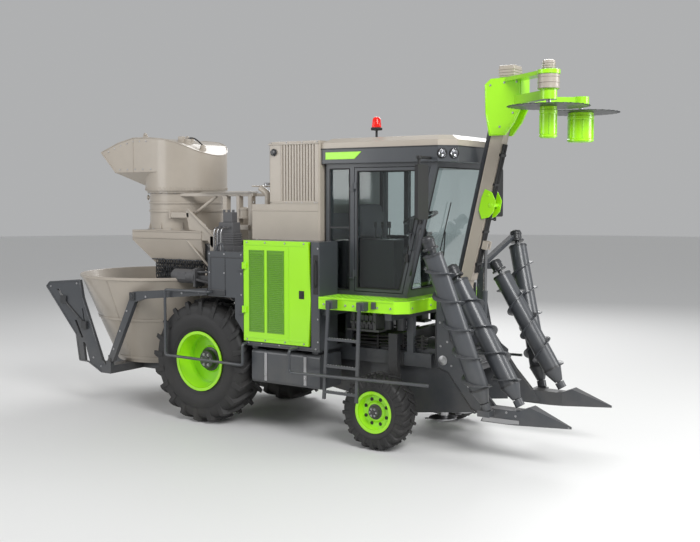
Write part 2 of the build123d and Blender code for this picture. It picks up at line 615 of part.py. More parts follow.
def cab_shell() -> Part:
    """Hollow cab with its doorways, side, rear and front windows cut."""
    shell = profile_y(cab_outline(0), (-CAB_HALF, CAB_HALF))
    shell -= profile_y(cab_outline(CAB_WALL), (-CAB_HALF + CAB_WALL, CAB_HALF - CAB_WALL))
    for side in SIDES.values():
        cut = side_band(side, CAB_HALF - CAB_WALL - 5, CAB_HALF + 5)
        shell -= profile_y(side_opening(0), cut)
        shell -= block(REAR_PANE_X, cut, (SILL_Z + 15, HEAD_Z - 15))
    shell -= block((CAB_X0 - 5, CAB_X0 + CAB_WALL + 5), (-CAB_HALF + 90, CAB_HALF - 90),
                   (2500, HEAD_Z - 15))
    screen_low, screen_high = CAB_Z0 + 90, CAB_Z1 - 60
    window = [(front_x(screen_low) - 80, screen_low), (front_x(screen_low) + 80, screen_low),
              (front_x(screen_high) + 80, screen_high), (front_x(screen_high) - 80, screen_high)]
    shell -= profile_y(window, (-CAB_HALF + PILLAR, CAB_HALF - PILLAR))
    for z in DOOR_HINGE_Z:
        shell += hinge_ear(SIDES["right"], DOOR_HINGE, z, (DOOR_X0 - 50, CAB_HALF))
    return shell


def cab_glass() -> Part:
    """Fixed panes: windscreen, rear quarter panes, left side pane and rear window."""
    low, high = CAB_Z0 + 90, CAB_Z1 - 60
    front = [(front_x(low, 20 + GLASS_T), low), (front_x(low, 20), low), (front_x(high, 20), high),
             (front_x(high, 20 + GLASS_T), high)]
    panes = [profile_y(front, (-CAB_HALF + PILLAR, CAB_HALF - PILLAR))]
    for side in SIDES.values():
        band = side_band(side, CAB_HALF - GLASS_SETBACK - GLASS_T, CAB_HALF - GLASS_SETBACK)
        panes.append(block(REAR_PANE_X, band, (SILL_Z + 15, HEAD_Z - 15)))
    band = side_band(1, CAB_HALF - GLASS_SETBACK - GLASS_T, CAB_HALF - GLASS_SETBACK)
    panes.append(profile_y(side_opening(0), band))
    panes.append(block((CAB_X0 + 20, CAB_X0 + 20 + GLASS_T), (-CAB_HALF + 90, CAB_HALF - 90),
                       (2500, HEAD_Z - 15)))
    return Compound(panes)


DOOR_T = 36.0
DOOR_FRAME = 38.0


def door_outline(inset: float) -> list[Point]:
    """The door's side view inside its doorway."""
    gap = DOOR_GAP + inset
    lean = (CAB_ROOF_X1 - CAB_FLOOR_X1) / (CAB_Z1 - CAB_Z0)
    shift = gap * math.sqrt(1 + lean ** 2) + PILLAR * (math.sqrt(1 + lean ** 2))
    low, high = SILL_Z + gap, HEAD_Z - gap
    return [(DOOR_X0 + gap, low), (front_x(low) - shift, low), (front_x(high) - shift, high),
            (DOOR_X0 + gap, high)]


def cab_door() -> Part:
    """Right-hand door frame with hinges and a pull handle."""
    band = (-CAB_HALF, -CAB_HALF + DOOR_T)
    frame = profile_y(door_outline(0), band) - profile_y(door_outline(DOOR_FRAME),
                                                         (-CAB_HALF - 5, -CAB_HALF + DOOR_T + 5))
    for z in DOOR_HINGE_Z:
        frame += hinge_barrel(SIDES["right"], DOOR_HINGE, z, DOOR_X0 + DOOR_GAP + 34, CAB_HALF,
                              DOOR_X0 + DOOR_GAP + 3)
    x = front_x(2250) - PILLAR - DOOR_GAP - DOOR_FRAME / 2 - 10
    frame += pipe([(x, -CAB_HALF, 2120), (x, -CAB_HALF - 45, 2120), (x, -CAB_HALF - 45, 2300),
                   (x, -CAB_HALF, 2300)], 9, 20)
    return frame


def cab_door_glass() -> Part:
    """Pane of the door."""
    band = (-CAB_HALF + 14, -CAB_HALF + 14 + GLASS_T)
    return profile_y(door_outline(DOOR_FRAME), band)


def cab_roof() -> Part:
    """Roof with a visor band and clipped front corners."""
    def plan(grow: float) -> list[Point]:
        half, front = ROOF_HALF + grow, ROOF_SIDE_X1
        nose = front + ROOF_CHAMFER + grow
        return [(ROOF_X0 - grow, -half), (front, -half), (nose, -half + ROOF_CHAMFER),
                (nose, half - ROOF_CHAMFER),
                (front, half), (ROOF_X0 - grow, half)]

    roof = profile_z(plan(0), (CAB_Z1, ROOF_Z1))
    top = roof.faces().sort_by(Axis.Z)[-1]
    return chamfer(top.edges(), 50, 90)


def roof_lamps() -> Part:
    """Twin work lamps on each clipped roof corner and a beacon on the roof."""
    lamps = []
    mid_x, mid_y = ROOF_SIDE_X1 + ROOF_CHAMFER / 2, ROOF_HALF - ROOF_CHAMFER / 2
    root = math.sqrt(0.5)
    for side in SIDES.values():
        for k in (-1, 1):
            x = mid_x + k * 62 * root
            y = side * (mid_y - k * 62 * root)
            lamps.append(rod((x, y, 3160), (x + 26 * root, y + side * 26 * root, 3160), 48))
    beacon = turned_z([(0, ROOF_Z1), (14, ROOF_Z1), (14, ROOF_Z1 + 90), (62, ROOF_Z1 + 90),
                       (62, ROOF_Z1 + 115),
                       (50, ROOF_Z1 + 125), (46, ROOF_Z1 + 215), (30, ROOF_Z1 + 240), (0, ROOF_Z1 + 240)],
                      BEACON[0], BEACON[1])
    return Compound(lamps + [beacon])


BEACON = (2060.0, -330.0)
SEAT_X = 1990.0


def driver_seat() -> Part:
    """Seat with pedestal, cushion and backrest."""
    floor = CAB_Z0 + CAB_WALL
    base = block((SEAT_X - 180, SEAT_X + 180), (-200, 200), (floor, floor + 330))
    cushion = fillet(block((SEAT_X - 240, SEAT_X + 260), (-250, 250),
                           (floor + 330, floor + 460)).edges(), 45)
    back = profile_y([(SEAT_X - 240, floor + 430), (SEAT_X - 120, floor + 430),
                      (SEAT_X - 200, floor + 950),
                      (SEAT_X - 290, floor + 950)], (-240, 240))
    return base + cushion + back


def cab_controls() -> Part:
    """Steering column with its wheel, and the side console."""
    floor = CAB_Z0 + CAB_WALL
    console = block((SEAT_X - 200, SEAT_X + 420), (-530, -330), (floor, floor + 560))
    column = profile_y([(2480, floor), (2570, floor), (2545, floor + 640), (2470, floor + 640)],
                       (-70, 70))
    centre = Vector(2440, 0, floor + 800)
    column += rod((2505, 0, floor + 600), (centre.X, centre.Y, centre.Z), 24)
    plane = Plane(origin=centre, z_dir=Vector(-0.35, 0, 0.94))
    rim = Location(plane) * Torus(190, 15)
    spokes = [Location(plane) * Rot(0, 0, 120 * k) * Pos(92, 0, -4) * Box(186, 26, 10) for k in range(3)]
    wheel = rim + spokes[0] + spokes[1] + spokes[2]
    wheel += Location(plane) * Cylinder(42, 36)
    return Compound([console, column + wheel])


def mirrors() -> Part:
    """Mirror heads on tube arms from both front corners of the roof."""
    def one_side(side: int) -> Part:
        x, y = 2960, side * 910
        head = fillet(block((x - 20, x + 20), side_band(side, 800, 1020),
                            (2450, 3010)).edges().filter_by(Axis.X), 25)
        post_x, low_x = x - 32, front_x(2420) - 35
        post = rod((post_x, y, 2400), (post_x, y, 3100), 16)
        top = rod((post_x, y, 3085), (post_x, side * ROOF_HALF, 3085), 14)
        low = rod((post_x, y, 2420), (low_x, side * (CAB_HALF + 14), 2420), 12)
        pad = block((low_x - 30, low_x + 25), side_band(side, CAB_HALF, CAB_HALF + 16), (2395, 2445))
        return head + post + top + low + pad

    return both_sides(one_side)


def cab_deck() -> Part:
    """Walkway tray round the cab's foot, with clipped front corners."""
    clip = 120.0
    plan = [(DECK_X0, -DECK_HALF), (DECK_X1 - clip, -DECK_HALF), (DECK_X1, -DECK_HALF + clip),
            (DECK_X1, DECK_HALF - clip), (DECK_X1 - clip, DECK_HALF), (DECK_X0, DECK_HALF)]
    inner = [(DECK_X0 - 5, -DECK_HALF + 12), (DECK_X1 - clip - 5, -DECK_HALF + 12),
             (DECK_X1 - 12, -DECK_HALF + clip + 5),
             (DECK_X1 - 12, DECK_HALF - clip - 5), (DECK_X1 - clip - 5, DECK_HALF - 12), (DECK_X0 - 5,
                                                                                          DECK_HALF - 12)]
    return profile_z(plan, (DECK_Z0, CAB_Z0)) - profile_z(inner, (DECK_Z0 - 5, CAB_Z0 - 10))


# ---------------------------------------------------------------- access and guards
LADDER_Y = -(DECK_HALF + 105)
LADDER_TOP_X = (1955.0, 2345.0)
LADDER_RAIL_W = 24.0
PIPE_R = 17.0


def ladder() -> Part:
    """Ladder hung from the deck's right edge."""
    low_x = (LADDER_TOP_X[0] - 60, LADDER_TOP_X[1] - 35)
    rails = []
    for top, low in zip(LADDER_TOP_X, low_x):
        rails.append(beam((low, LADDER_Y, 520), (top, LADDER_Y, 1560), LADDER_RAIL_W, 34))
        rails.append(block((top - 45, top + 45), (LADDER_Y + 8, -DECK_HALF), (1490, 1580)))
    ladder_shape = rails[0] + rails[1] + rails[2] + rails[3]
    for z in (600, 880, 1170):
        share = (z - 520) / 1040
        x0 = low_x[0] + (LADDER_TOP_X[0] - low_x[0]) * share
        x1 = low_x[1] + (LADDER_TOP_X[1] - low_x[1]) * share
        ladder_shape += block((x0, x1), (LADDER_Y - 12, LADDER_Y + 24), (z - 14, z + 14))
    return ladder_shape


def guard_rails() -> Part:
    """Bent pipe guards round the rear wheels and over the front wheels."""
    def one_side(side: int) -> Part:
        y = side * (REAR_TRACK_HALF + REAR_TYRE_W / 2 + 42)
        rear = pipe([(SIDE_BOX_X0 + 60, side * BODY_HALF, 1575), (SIDE_BOX_X0 + 60, y, 1575),
                     (-470, y, 1570), (-470, y, 780),
                     (730, y, 765), (730, y, 1011), (730, side * BODY_HALF, 1011)], PIPE_R, 34)
        outside = side * (abs(LADDER_Y) + LADDER_RAIL_W / 2 + PIPE_R + 0.5)
        front = pipe([(1450, side * BODY_HALF, 1011), (1450, outside, 1011), (1450, outside, 765),
                      (3180, outside, 800)],
                     PIPE_R, 40)
        return rear + front

    return both_sides(one_side)


# ---------------------------------------------------------------- extractor
def extractor_chamber() -> Part:
    """Funnel and collar under the extractor, open to the feed channel and below."""
    def hollow(inset: float) -> Part:
        run = 20.0 if inset else 0.0
        collar = block((MOUTH_X - 1200 + inset, MOUTH_X - inset), (-500 + inset, 500 - inset),
                       (COLLAR_Z0 - (1 if inset else 0), RING_Z0 - inset))
        top = Plane.XY.offset(COLLAR_Z0) * Pos(MOUTH_X - 600, 0) * Rectangle(1200 - 2 * inset,
                                                                             1000 - 2 * inset)
        low = Plane.XY.offset(CHAMBER_Z0 - run) * Pos(MOUTH_X - 395, 0) * Rectangle(790 - 2 * inset,
                                                                                    860 - 2 * inset)
        return collar + loft([low, top])

    chamber = hollow(0) - hollow(SHEET)
    inner = THROAT_HALF - CHANNEL_WALL
    chamber -= block((MOUTH_X - 40, MOUTH_X + 10), (-inner, inner), (1830, 2080))
    chamber -= rod((EXTRACTOR_X, 0, RING_Z0 - 30), (EXTRACTOR_X, 0, RING_Z0 + 10), RING_R - 30)
    return chamber


def extractor_ring() -> Part:
    """Banded fan ring with its cross spider, standing on the collar and braced to the body."""
    wall = 8.0
    profile = [(RING_R - wall, RING_Z0), (RING_R + 30, RING_Z0), (RING_R + 30, RING_Z0 + 14),
               (RING_R, RING_Z0 + 14),
               (RING_R, RING_Z0 + 235), (RING_R + 14, RING_Z0 + 235), (RING_R + 14, RING_Z0 + 260),
               (RING_R, RING_Z0 + 260), (RING_R, RING_Z0 + 340), (RING_R + 14, RING_Z0 + 340),
               (RING_R + 14, RING_Z0 + 365), (RING_R, RING_Z0 + 365), (RING_R, RING_Z1 - 25),
               (RING_R + 36, RING_Z1 - 25), (RING_R + 36, RING_Z1), (RING_R - wall, RING_Z1)]
    ring = turned_z(profile, EXTRACTOR_X, 0)
    reach = RING_R - wall + 2
    ring += block((EXTRACTOR_X - reach, EXTRACTOR_X + reach), (-20, 20), (RING_Z0 + 40, RING_Z0 + 80))
    ring += block((EXTRACTOR_X - 20, EXTRACTOR_X + 20), (-reach, reach), (RING_Z0 + 40, RING_Z0 + 80))
    ring += rod((EXTRACTOR_X, 0, RING_Z0 + 40), (EXTRACTOR_X, 0, RING_Z0 + 130), 75)
    ring += rod((EXTRACTOR_X, 0, RING_Z0 + 120), (EXTRACTOR_X, 0, RING_Z0 + 330), 30 - RUN_CLEARANCE)

    def brace(side: int) -> Part:
        y = side_band(side, 330, 400)
        plate = block((EXTRACTOR_X + 240, SIDE_BOX_X0 + 200), y, (RING_Z1 - 70, RING_Z1 - 30))
        post = block((SIDE_BOX_X0 + 120, SIDE_BOX_X0 + 180), y, (2120, RING_Z1 - 70))
        foot = block((SIDE_BOX_X0 + 120, BAY_X0), y, (2060, 2120))
        return plate + post + foot

    braces = both_sides(brace)
    braces -= rod((EXTRACTOR_X, 0, RING_Z0 - 10), (EXTRACTOR_X, 0, RING_Z1 + 10), RING_R - wall / 2)
    return ring + braces


def extractor_fan() -> Part:
    """Fan hub with pitched blades on the ring's centre shaft."""
    z = RING_Z0 + 220
    hub = rod((EXTRACTOR_X, 0, z - 60), (EXTRACTOR_X, 0, z + 70), 95)
    for k in range(4):
        hub += Pos(EXTRACTOR_X, 0, z) * Rot(0, 0, 90 * k + 20) * Pos(250, 0, 0) * Rot(28, 0,
                                                                                      0) * Box(370, 150,
                                                                                               10)
    hub -= rod((EXTRACTOR_X, 0, z - 70), (EXTRACTOR_X, 0, z + 80), 30)
    return hub


HOOD_COLLAR = 60.0          # height of the turning collar
HOOD_TOP = [(534, 455), (427, 520), (294, 600), (100, 655), (-150, 680), (-430, 684), (-710, 625)]
HOOD_FOOT = (400.0, 300.0)  # the snout's floor narrows to this plan size at the collar


def hood_body(inset: float) -> Part:
    """Outer or inner body of the hood: a drum and a straight snout under a sloping lid."""
    x, z = EXTRACTOR_X, RING_Z1 + HOOD_GAP
    run = 60.0 if inset else 0.0
    half = HOOD_R - inset
    floor = z + HOOD_LIP_LOW[1] + inset
    body = rod((x, 0, z + HOOD_COLLAR), (x, 0, z + 800), half)
    body += block((x + HOOD_LIP_TOP[0] - run, x), (-half, half), (floor, z + 800))
    depth, width = -HOOD_LIP_LOW[0] - 2 * inset, 2 * half
    top = Plane.XY.offset(floor) * Pos(x - depth / 2, 0) * Rectangle(depth, width)
    depth, width = HOOD_FOOT[0] - 2 * inset, 2 * (HOOD_FOOT[1] - inset)
    low = Plane.XY.offset(z + HOOD_COLLAR) * Pos(x - depth / 2, 0) * Rectangle(depth, width)
    body += loft([low, top])
    fall = (HOOD_TOP[-1][1] - HOOD_LIP_TOP[1]) / (HOOD_TOP[-1][0] - HOOD_LIP_TOP[0])
    outline = [(HOOD_TOP[0][0] + 10, 0), *((px, pz - inset) for px, pz in HOOD_TOP),
               (HOOD_LIP_TOP[0] - run, HOOD_LIP_TOP[1] - inset - run * fall),
               (HOOD_LIP_LOW[0] - run, HOOD_LIP_LOW[1]),
               (HOOD_LIP_LOW[0] - run, 0)]
    return body & profile_y([(x + px, z + pz) for px, pz in outline], (-HOOD_R, HOOD_R))


def extractor_hood() -> Part:
    """Slewing hood with an open mouth, on a turning collar over the fan ring."""
    x, z = EXTRACTOR_X, RING_Z1 + HOOD_GAP
    hood = hood_body(0) + rod((x, 0, z), (x, 0, z + HOOD_COLLAR), HOOD_R)
    hole = rod((x, 0, z - 5), (x, 0, z + HOOD_COLLAR + 20), HOOD_R - 40)
    return hood - (hood_body(SHEET) + hole)


# ---------------------------------------------------------------- tub
def collection_tub() -> Part:
    """Conical tub for the cut cane, open at the top, with a rolled rim."""
    wall = 8.0
    profile = [(0, TUB_Z0), (TUB_R_BOTTOM, TUB_Z0), (TUB_R_TOP - 14, TUB_Z1 - 30),
               (TUB_R_TOP, TUB_Z1 - 30),
               (TUB_R_TOP, TUB_Z1), (TUB_R_TOP - 14 - wall, TUB_Z1), (TUB_R_BOTTOM - wall, TUB_Z0 + wall),
               (0, TUB_Z0 + wall)]
    return turned_z(profile, TUB_X, 0)


ARM_PLANE = (960.0, 1020.0)
V_PLANE = (970.0, 1010.0)
V_HOLES = [[(-2490, 1470), (-2440, 1470), (-2250, 1270), (-2290, 1270)],
           [(-2150, 1080), (-2110, 1080), (-1990, 860), (-2030, 860)],
           [(-2010, 1240), (-1990, 1240), (-1940, 1000), (-1965, 1000)], [(-2000, 800), (-1960, 800),
                                                                          (-1870, 560), (-1960, 560)]]


def tub_frame() -> Part:
    """Carrier of the tub: low platform, side arms from the body and pierced rear plates."""
    def one_side(side: int) -> Part:
        plate = profile_y([(CARRIER_REAR_X, 1500), (-2620, 1560), (-2040, 1610), (-1990, 1380), (-1640, 600),
                           (-1560, 540),
                           (-1560, PLATFORM_Z0), (-1650, PLATFORM_Z0), (-1900, 560), (-2060,
                                                                                      565), (-2120, 900)],
                          side_band(side, *V_PLANE))
        for hole in V_HOLES:
            plate -= profile_y(hole, side_band(side, V_PLANE[0] - 10, V_PLANE[1] + 10))
        arm = profile_y([(SIDE_BOX_X0, 1610), (SIDE_BOX_X0, 1530), (-860, 1430), (-1040, 1380),
                         (-1440, 600),
                         (-1540, 600), (-1090, 1500), (-1050, 1510)], side_band(side, *ARM_PLANE))
        foot = block((-1650, -1480), side_band(side, 440, ARM_PLANE[1]), (PLATFORM_Z0, TUB_Z0))
        foot += block((-1560, -1480), side_band(side, *ARM_PLANE), (TUB_Z0, 602))
        beam_z = (PLATFORM_Z0, TUB_Z0)
        rail = block((-2150, RAIL_REAR_X), side_band(side, 360, 440), beam_z)
        hanger = block((RAIL_REAR_X, RAIL_REAR_X + 80), side_band(side, 360, 440),
                       (PLATFORM_Z0, RAIL_BOTTOM))
        return plate + arm + foot + rail + hanger

    frame = both_sides(one_side)
    frame += block((-2150, -2070), (-360, 360), (PLATFORM_Z0, TUB_Z0))
    return frame


# ---------------------------------------------------------------- topper
def along_boom(distance: float, forward: float = 0.0) -> Point3:
    """A point at a distance up the boom and forward of its centre line."""
    tilt = math.radians(BOOM_TILT)
    return (BOOM_PIVOT[0] + distance * math.sin(tilt) + forward * math.cos(tilt), 0.0,
            BOOM_PIVOT[2] + distance * math.cos(tilt) - forward * math.sin(tilt))


def link_pivot() -> Point3:
    """Lower pin of the levelling link."""
    return (BOOM_PIVOT[0] - LINK_OFFSET, 0.0, BOOM_PIVOT[2] + LINK_OFFSET)


BOOM_HALF_W = 70.0
BOOM_DEPTH = 130.0
LINK_W = 44.0
LINK_DEPTH = 40.0
HEAD_PIN_R = 22.0
CYLINDER_REACH = 520.0


def topper_boom() -> Part:
    """Box boom with its foot eye, head fork and cylinder lug."""
    foot, top = along_boom(110), along_boom(BOOM_LENGTH - 110)
    boom = beam(foot, top, 2 * BOOM_HALF_W, BOOM_DEPTH)
    for start, end, pin in ((0, 130, BOOM_PIN_R), (BOOM_LENGTH, BOOM_LENGTH - 130, HEAD_PIN_R)):
        eye = along_boom(start)
        width = BOOM_HALF_W - 10
        piece = beam(eye, along_boom(end), 2 * width, 90)
        piece += rod((eye[0], -width, eye[2]), (eye[0], width, eye[2]), pin + 25)
        boom += piece
    for start, pin in ((0, BOOM_PIN_R), (BOOM_LENGTH, HEAD_PIN_R)):
        eye = along_boom(start)
        boom -= rod((eye[0], -BOOM_HALF_W - 20, eye[2]), (eye[0], BOOM_HALF_W + 20, eye[2]), pin)
    for side in SIDES.values():
        lug = beam(along_boom(CYLINDER_REACH, BOOM_DEPTH / 2 - 5),
                   along_boom(CYLINDER_REACH, BOOM_DEPTH / 2 + 90), 14, 90)
        boom += Pos(0, side * 38, 0) * lug
    return boom


def topper_link() -> Part:
    """Levelling link, parallel to the boom."""
    def at(distance: float) -> Point3:
        point = along_boom(distance)
        return (point[0] - LINK_OFFSET, 0.0, point[2] + LINK_OFFSET)

    link = beam(at(0), at(BOOM_LENGTH), LINK_W, LINK_DEPTH)
    for distance in (0, BOOM_LENGTH):
        eye = at(distance)
        link += rod((eye[0], -LINK_W / 2, eye[2]), (eye[0], LINK_W / 2, eye[2]), 36)
        link -= rod((eye[0], -LINK_W, eye[2]), (eye[0], LINK_W, eye[2]), 18)
    return link


ROTOR_SHAFT_R = 24.0
CHEEK_IN = BOOM_HALF_W + 8
CHEEK_OUT = BOOM_HALF_W + 40
HEAD_ARM_Z = (3890.0, 3930.0)
GEARCASE_Z = (3640.0, 3740.0)


def topper_head() -> Part:
    """Head bracket with side cheeks, rotor arms and drive housings."""
    head_pin, link_pin = along_boom(BOOM_LENGTH), along_boom(BOOM_LENGTH)
    link_pin = (link_pin[0] - LINK_OFFSET, 0.0, link_pin[2] + LINK_OFFSET)
    back, front, top = head_pin[0] - 175, 3690.0, HEAD_ARM_Z[1]
    cheek = [(back, top - 60), (back + 10, 3560), (head_pin[0] - 120, 3330), (head_pin[0] + 60, 3330),
             (front - 80, 3460), (front, 3620), (front, top), (back + 70, top)]

    def one_side(side: int) -> Part:
        piece = profile_y(cheek, side_band(side, CHEEK_IN, CHEEK_OUT))
        y = side * ROTOR_SPREAD
        piece += beam((3620, side * 60, 3690), (ROTOR_X, y, 3690), 90, 90, across=(0, 0, 1))
        hub = rod((ROTOR_X, y, GEARCASE_Z[0]), (ROTOR_X, y, GEARCASE_Z[1]), 85)
        return piece + hub

    head = both_sides(one_side)
    head += block((front - 40, front), (-CHEEK_OUT, CHEEK_OUT), (3620, top))
    head += block((back + 120, front), (-CHEEK_OUT, CHEEK_OUT), (top - 15, top))
    housing = rod((ROTOR_X, -ROTOR_SPREAD, GEARCASE_Z[1]), (ROTOR_X, -ROTOR_SPREAD, HEAD_ARM_Z[0]), 105)
    housing += rod((ROTOR_X, -ROTOR_SPREAD, HEAD_ARM_Z[1]), (ROTOR_X, -ROTOR_SPREAD, 4020), 62)
    arm = beam((3560, -60, 3910), (ROTOR_X, -ROTOR_SPREAD, 3910), 150, 40, across=(0, 1, 0))
    arm += rod((ROTOR_X, -ROTOR_SPREAD, HEAD_ARM_Z[0]), (ROTOR_X, -ROTOR_SPREAD, HEAD_ARM_Z[1]), 115)
    head += housing + arm
    head += block((3440, 3600), (-94, 94), (3930, 4060))
    for pin, radius in ((head_pin, HEAD_PIN_R), (link_pin, 18)):
        head += rod((pin[0], -CHEEK_OUT, pin[2]), (pin[0], CHEEK_OUT, pin[2]), radius - RUN_CLEARANCE)
    for side in SIDES.values():
        head -= rod((ROTOR_X, side * ROTOR_SPREAD, GEARCASE_Z[0] - 5),
                    (ROTOR_X, side * ROTOR_SPREAD, GEARCASE_Z[1] - 15),
                    ROTOR_SHAFT_R)
    return head


DRUM_R = {"right": 88.0, "left": 140.0}


def topper_rotor(name: str) -> Part:
    """Toothed cutting disc with its gathering drum."""
    x, y = ROTOR_X, SIDES[name] * ROTOR_SPREAD
    rotor = rod((x, y, ROTOR_DISC_Z - 5), (x, y, ROTOR_DISC_Z + 5), ROTOR_DISC_R - 40)
    for k in range(16):
        rotor += Pos(x, y, ROTOR_DISC_Z) * Rot(0, 0, 22.5 * k) * Pos(ROTOR_DISC_R - 35, 0, 0) * Box(70,
                                                                                                    46, 8)
    rotor &= rod((x, y, ROTOR_DISC_Z - 6), (x, y, ROTOR_DISC_Z + 6), ROTOR_DISC_R)
    rotor += rod((x, y, 3262), (x, y, ROTOR_DISC_Z - 5), DRUM_R[name])
    rotor += rod((x, y, ROTOR_DISC_Z), (x, y, GEARCASE_Z[1] - 20), ROTOR_SHAFT_R - RUN_CLEARANCE)
    return rotor


def cylinder_axis() -> tuple[Point3, Point3]:
    """Foot pin and boom pin of the lift cylinder at rest."""
    return CYLINDER_FOOT, along_boom(CYLINDER_REACH, BOOM_DEPTH / 2 + 50)


def between(share: float) -> Point3:
    """A point on the lift cylinder's axis, by its share of the pin-to-pin length."""
    foot, head = cylinder_axis()
    return tuple(a + (b - a) * share for a, b in zip(foot, head))


def boom_cylinder() -> Part:
    """Barrel of the lift cylinder."""
    foot = CYLINDER_FOOT
    barrel = rod(between(0.02), between(0.52), 32)
    barrel += rod((foot[0], -26, foot[2]), (foot[0], 26, foot[2]), 34)
    barrel -= rod((foot[0], -40, foot[2]), (foot[0], 40, foot[2]), CYLINDER_PIN_R)
    barrel -= rod(between(0.05), between(0.6), 20)
    return barrel


def boom_rod() -> Part:
    """Piston rod of the lift cylinder, with its eye."""
    head = cylinder_axis()[1]
    shaft = rod(between(0.46), between(0.98), 20 - RUN_CLEARANCE)
    shaft += rod((head[0], -24, head[2]), (head[0], 24, head[2]), 30)
    return shaft


# ---------------------------------------------------------------- crop dividers
DIVIDER_PLATE = (462.0, 502.0)
SHOE_Y = (475.0, 650.0)


def scroll_axis(kind: str, side: int) -> tuple[Vector, Vector]:
    """Foot and top of a scroll's centre line."""
    foot, top = {"outer": (OUTER_SCROLL_FOOT, OUTER_SCROLL_TOP),
                 "inner": (INNER_SCROLL_FOOT, INNER_SCROLL_TOP)}[kind]
    return Vector(foot[0], side * foot[1], foot[2]), Vector(top[0], side * top[1], top[2])


SCROLL_STUB_R = 25.0
SCROLL_STUB = 60.0
MOTOR_R = 62.0
MOTOR_LEN = 120.0


def crop_scroll(kind: str, side: int) -> Part:
    """Tapered tube with a helical flight, bored at both ends for its stubs."""
    foot, top = scroll_axis(kind, side)
    length = (top - foot).length
    plane = Plane(origin=foot, z_dir=top - foot)
    tube = Cylinder(SCROLL_TUBE_R, length - 190, align=(Align.CENTER, Align.CENTER, Align.MIN))
    tube = Pos(0, 0, 150) * tube
    cone = Cone(45, SCROLL_TUBE_R, 140, align=(Align.CENTER, Align.CENTER, Align.MIN))
    body = Pos(0, 0, 10) * cone + tube
    turns_len = length - 340
    path = Helix(SCROLL_PITCH, turns_len, SCROLL_TUBE_R - 8, lefthand=side < 0)
    start = path @ 0
    half_w = SCROLL_FLIGHT_R - SCROLL_TUBE_R + 8
    section = Plane(origin=start + Vector(half_w / 2, 0, 0), x_dir=(1, 0, 0),
                    z_dir=path % 0) * Rectangle(half_w, 10)
    flight = sweep(section, path=path, is_frenet=True)
    body += Pos(0, 0, 160) * flight
    bore = Cylinder(SCROLL_STUB_R, SCROLL_STUB + 12, align=(Align.CENTER, Align.CENTER, Align.MIN))
    body -= bore
    body -= Pos(0, 0, length - 10 - SCROLL_STUB - 10) * bore
    return Location(plane) * body


def crop_divider(side: int) -> Part:
    """Divider: shoe with a pointed toe, rear plate on its pivot and bearings for both scrolls."""
    band = side_band(side, *DIVIDER_PLATE)
    px, pz = DIVIDER_PIVOT
    plate = profile_y([(px - 75, pz - 90), (px - 90, pz + 40), (px - 80, 1640), (px, 1640),
                       (px + 90, 1180), (3400, 760),
                       (3600, 540), (3700, 420), (3512, 395), (3330, 470), (px + 60, pz - 130)], band)
    shoe = profile_y([(3512, 393), (3600, 540), (3930, 540), (4047, 590), (SHOE_TIP_X, 440),
                      (SHOE_TIP_X, 420), (3800, 393)],
                     side_band(side, *SHOE_Y))
    shoe &= profile_z([(3480, side * SHOE_Y[0]), (3480, side * SHOE_Y[1]), (3950, side * SHOE_Y[1]),
                       (SHOE_TIP_X, side * 600), (SHOE_TIP_X, side * 588), (3950,
                                                                            side * SHOE_Y[0])],
                                                                            (300, 700))
    divider = plate + shoe
    divider += block((3540, 3670), side_band(side, SHOE_Y[0], OUTER_SCROLL_FOOT[1] + 50), (470, 530))
    for kind in ("outer", "inner"):
        foot, top = scroll_axis(kind, side)
        axis = (top - foot).normalized()
        low = foot - axis * 70
        stub = foot + axis * SCROLL_STUB
        divider += rod(tuple(low), tuple(stub), SCROLL_STUB_R - RUN_CLEARANCE)
        divider += rod(tuple(low), tuple(foot + axis * 2), 50)
        cap = top + axis * 4
        divider += rod(tuple(top - axis * SCROLL_STUB), tuple(cap), SCROLL_STUB_R - RUN_CLEARANCE)
        divider += rod(tuple(cap), tuple(cap + axis * MOTOR_LEN), MOTOR_R)
    outer_top = scroll_axis("outer", side)[1]
    inner_top = scroll_axis("inner", side)[1]
    post_y = side * sum(DIVIDER_PLATE) / 2
    post_x = px - 40
    motor_z = inner_top.Z + 0.87 * (MOTOR_LEN / 2 + 10)
    divider += beam((post_x, post_y, 1600), (post_x, post_y, motor_z + 35), 40, 80)
    divider += beam((post_x, post_y, motor_z), (inner_top.X - 65, side * abs(inner_top.Y), motor_z), 70,
                    70)
    divider += beam((post_x, post_y, motor_z), (outer_top.X - 35, side * (abs(outer_top.Y) - 5),
                                                outer_top.Z + 85),
                    60, 50, across=(1, 0, 0))
    bore = rod((px, side * (DIVIDER_PLATE[0] - 20), pz), (px, side * (DIVIDER_PLATE[1] + 20), pz),
               DIVIDER_PIN_R)
    return divider - bore


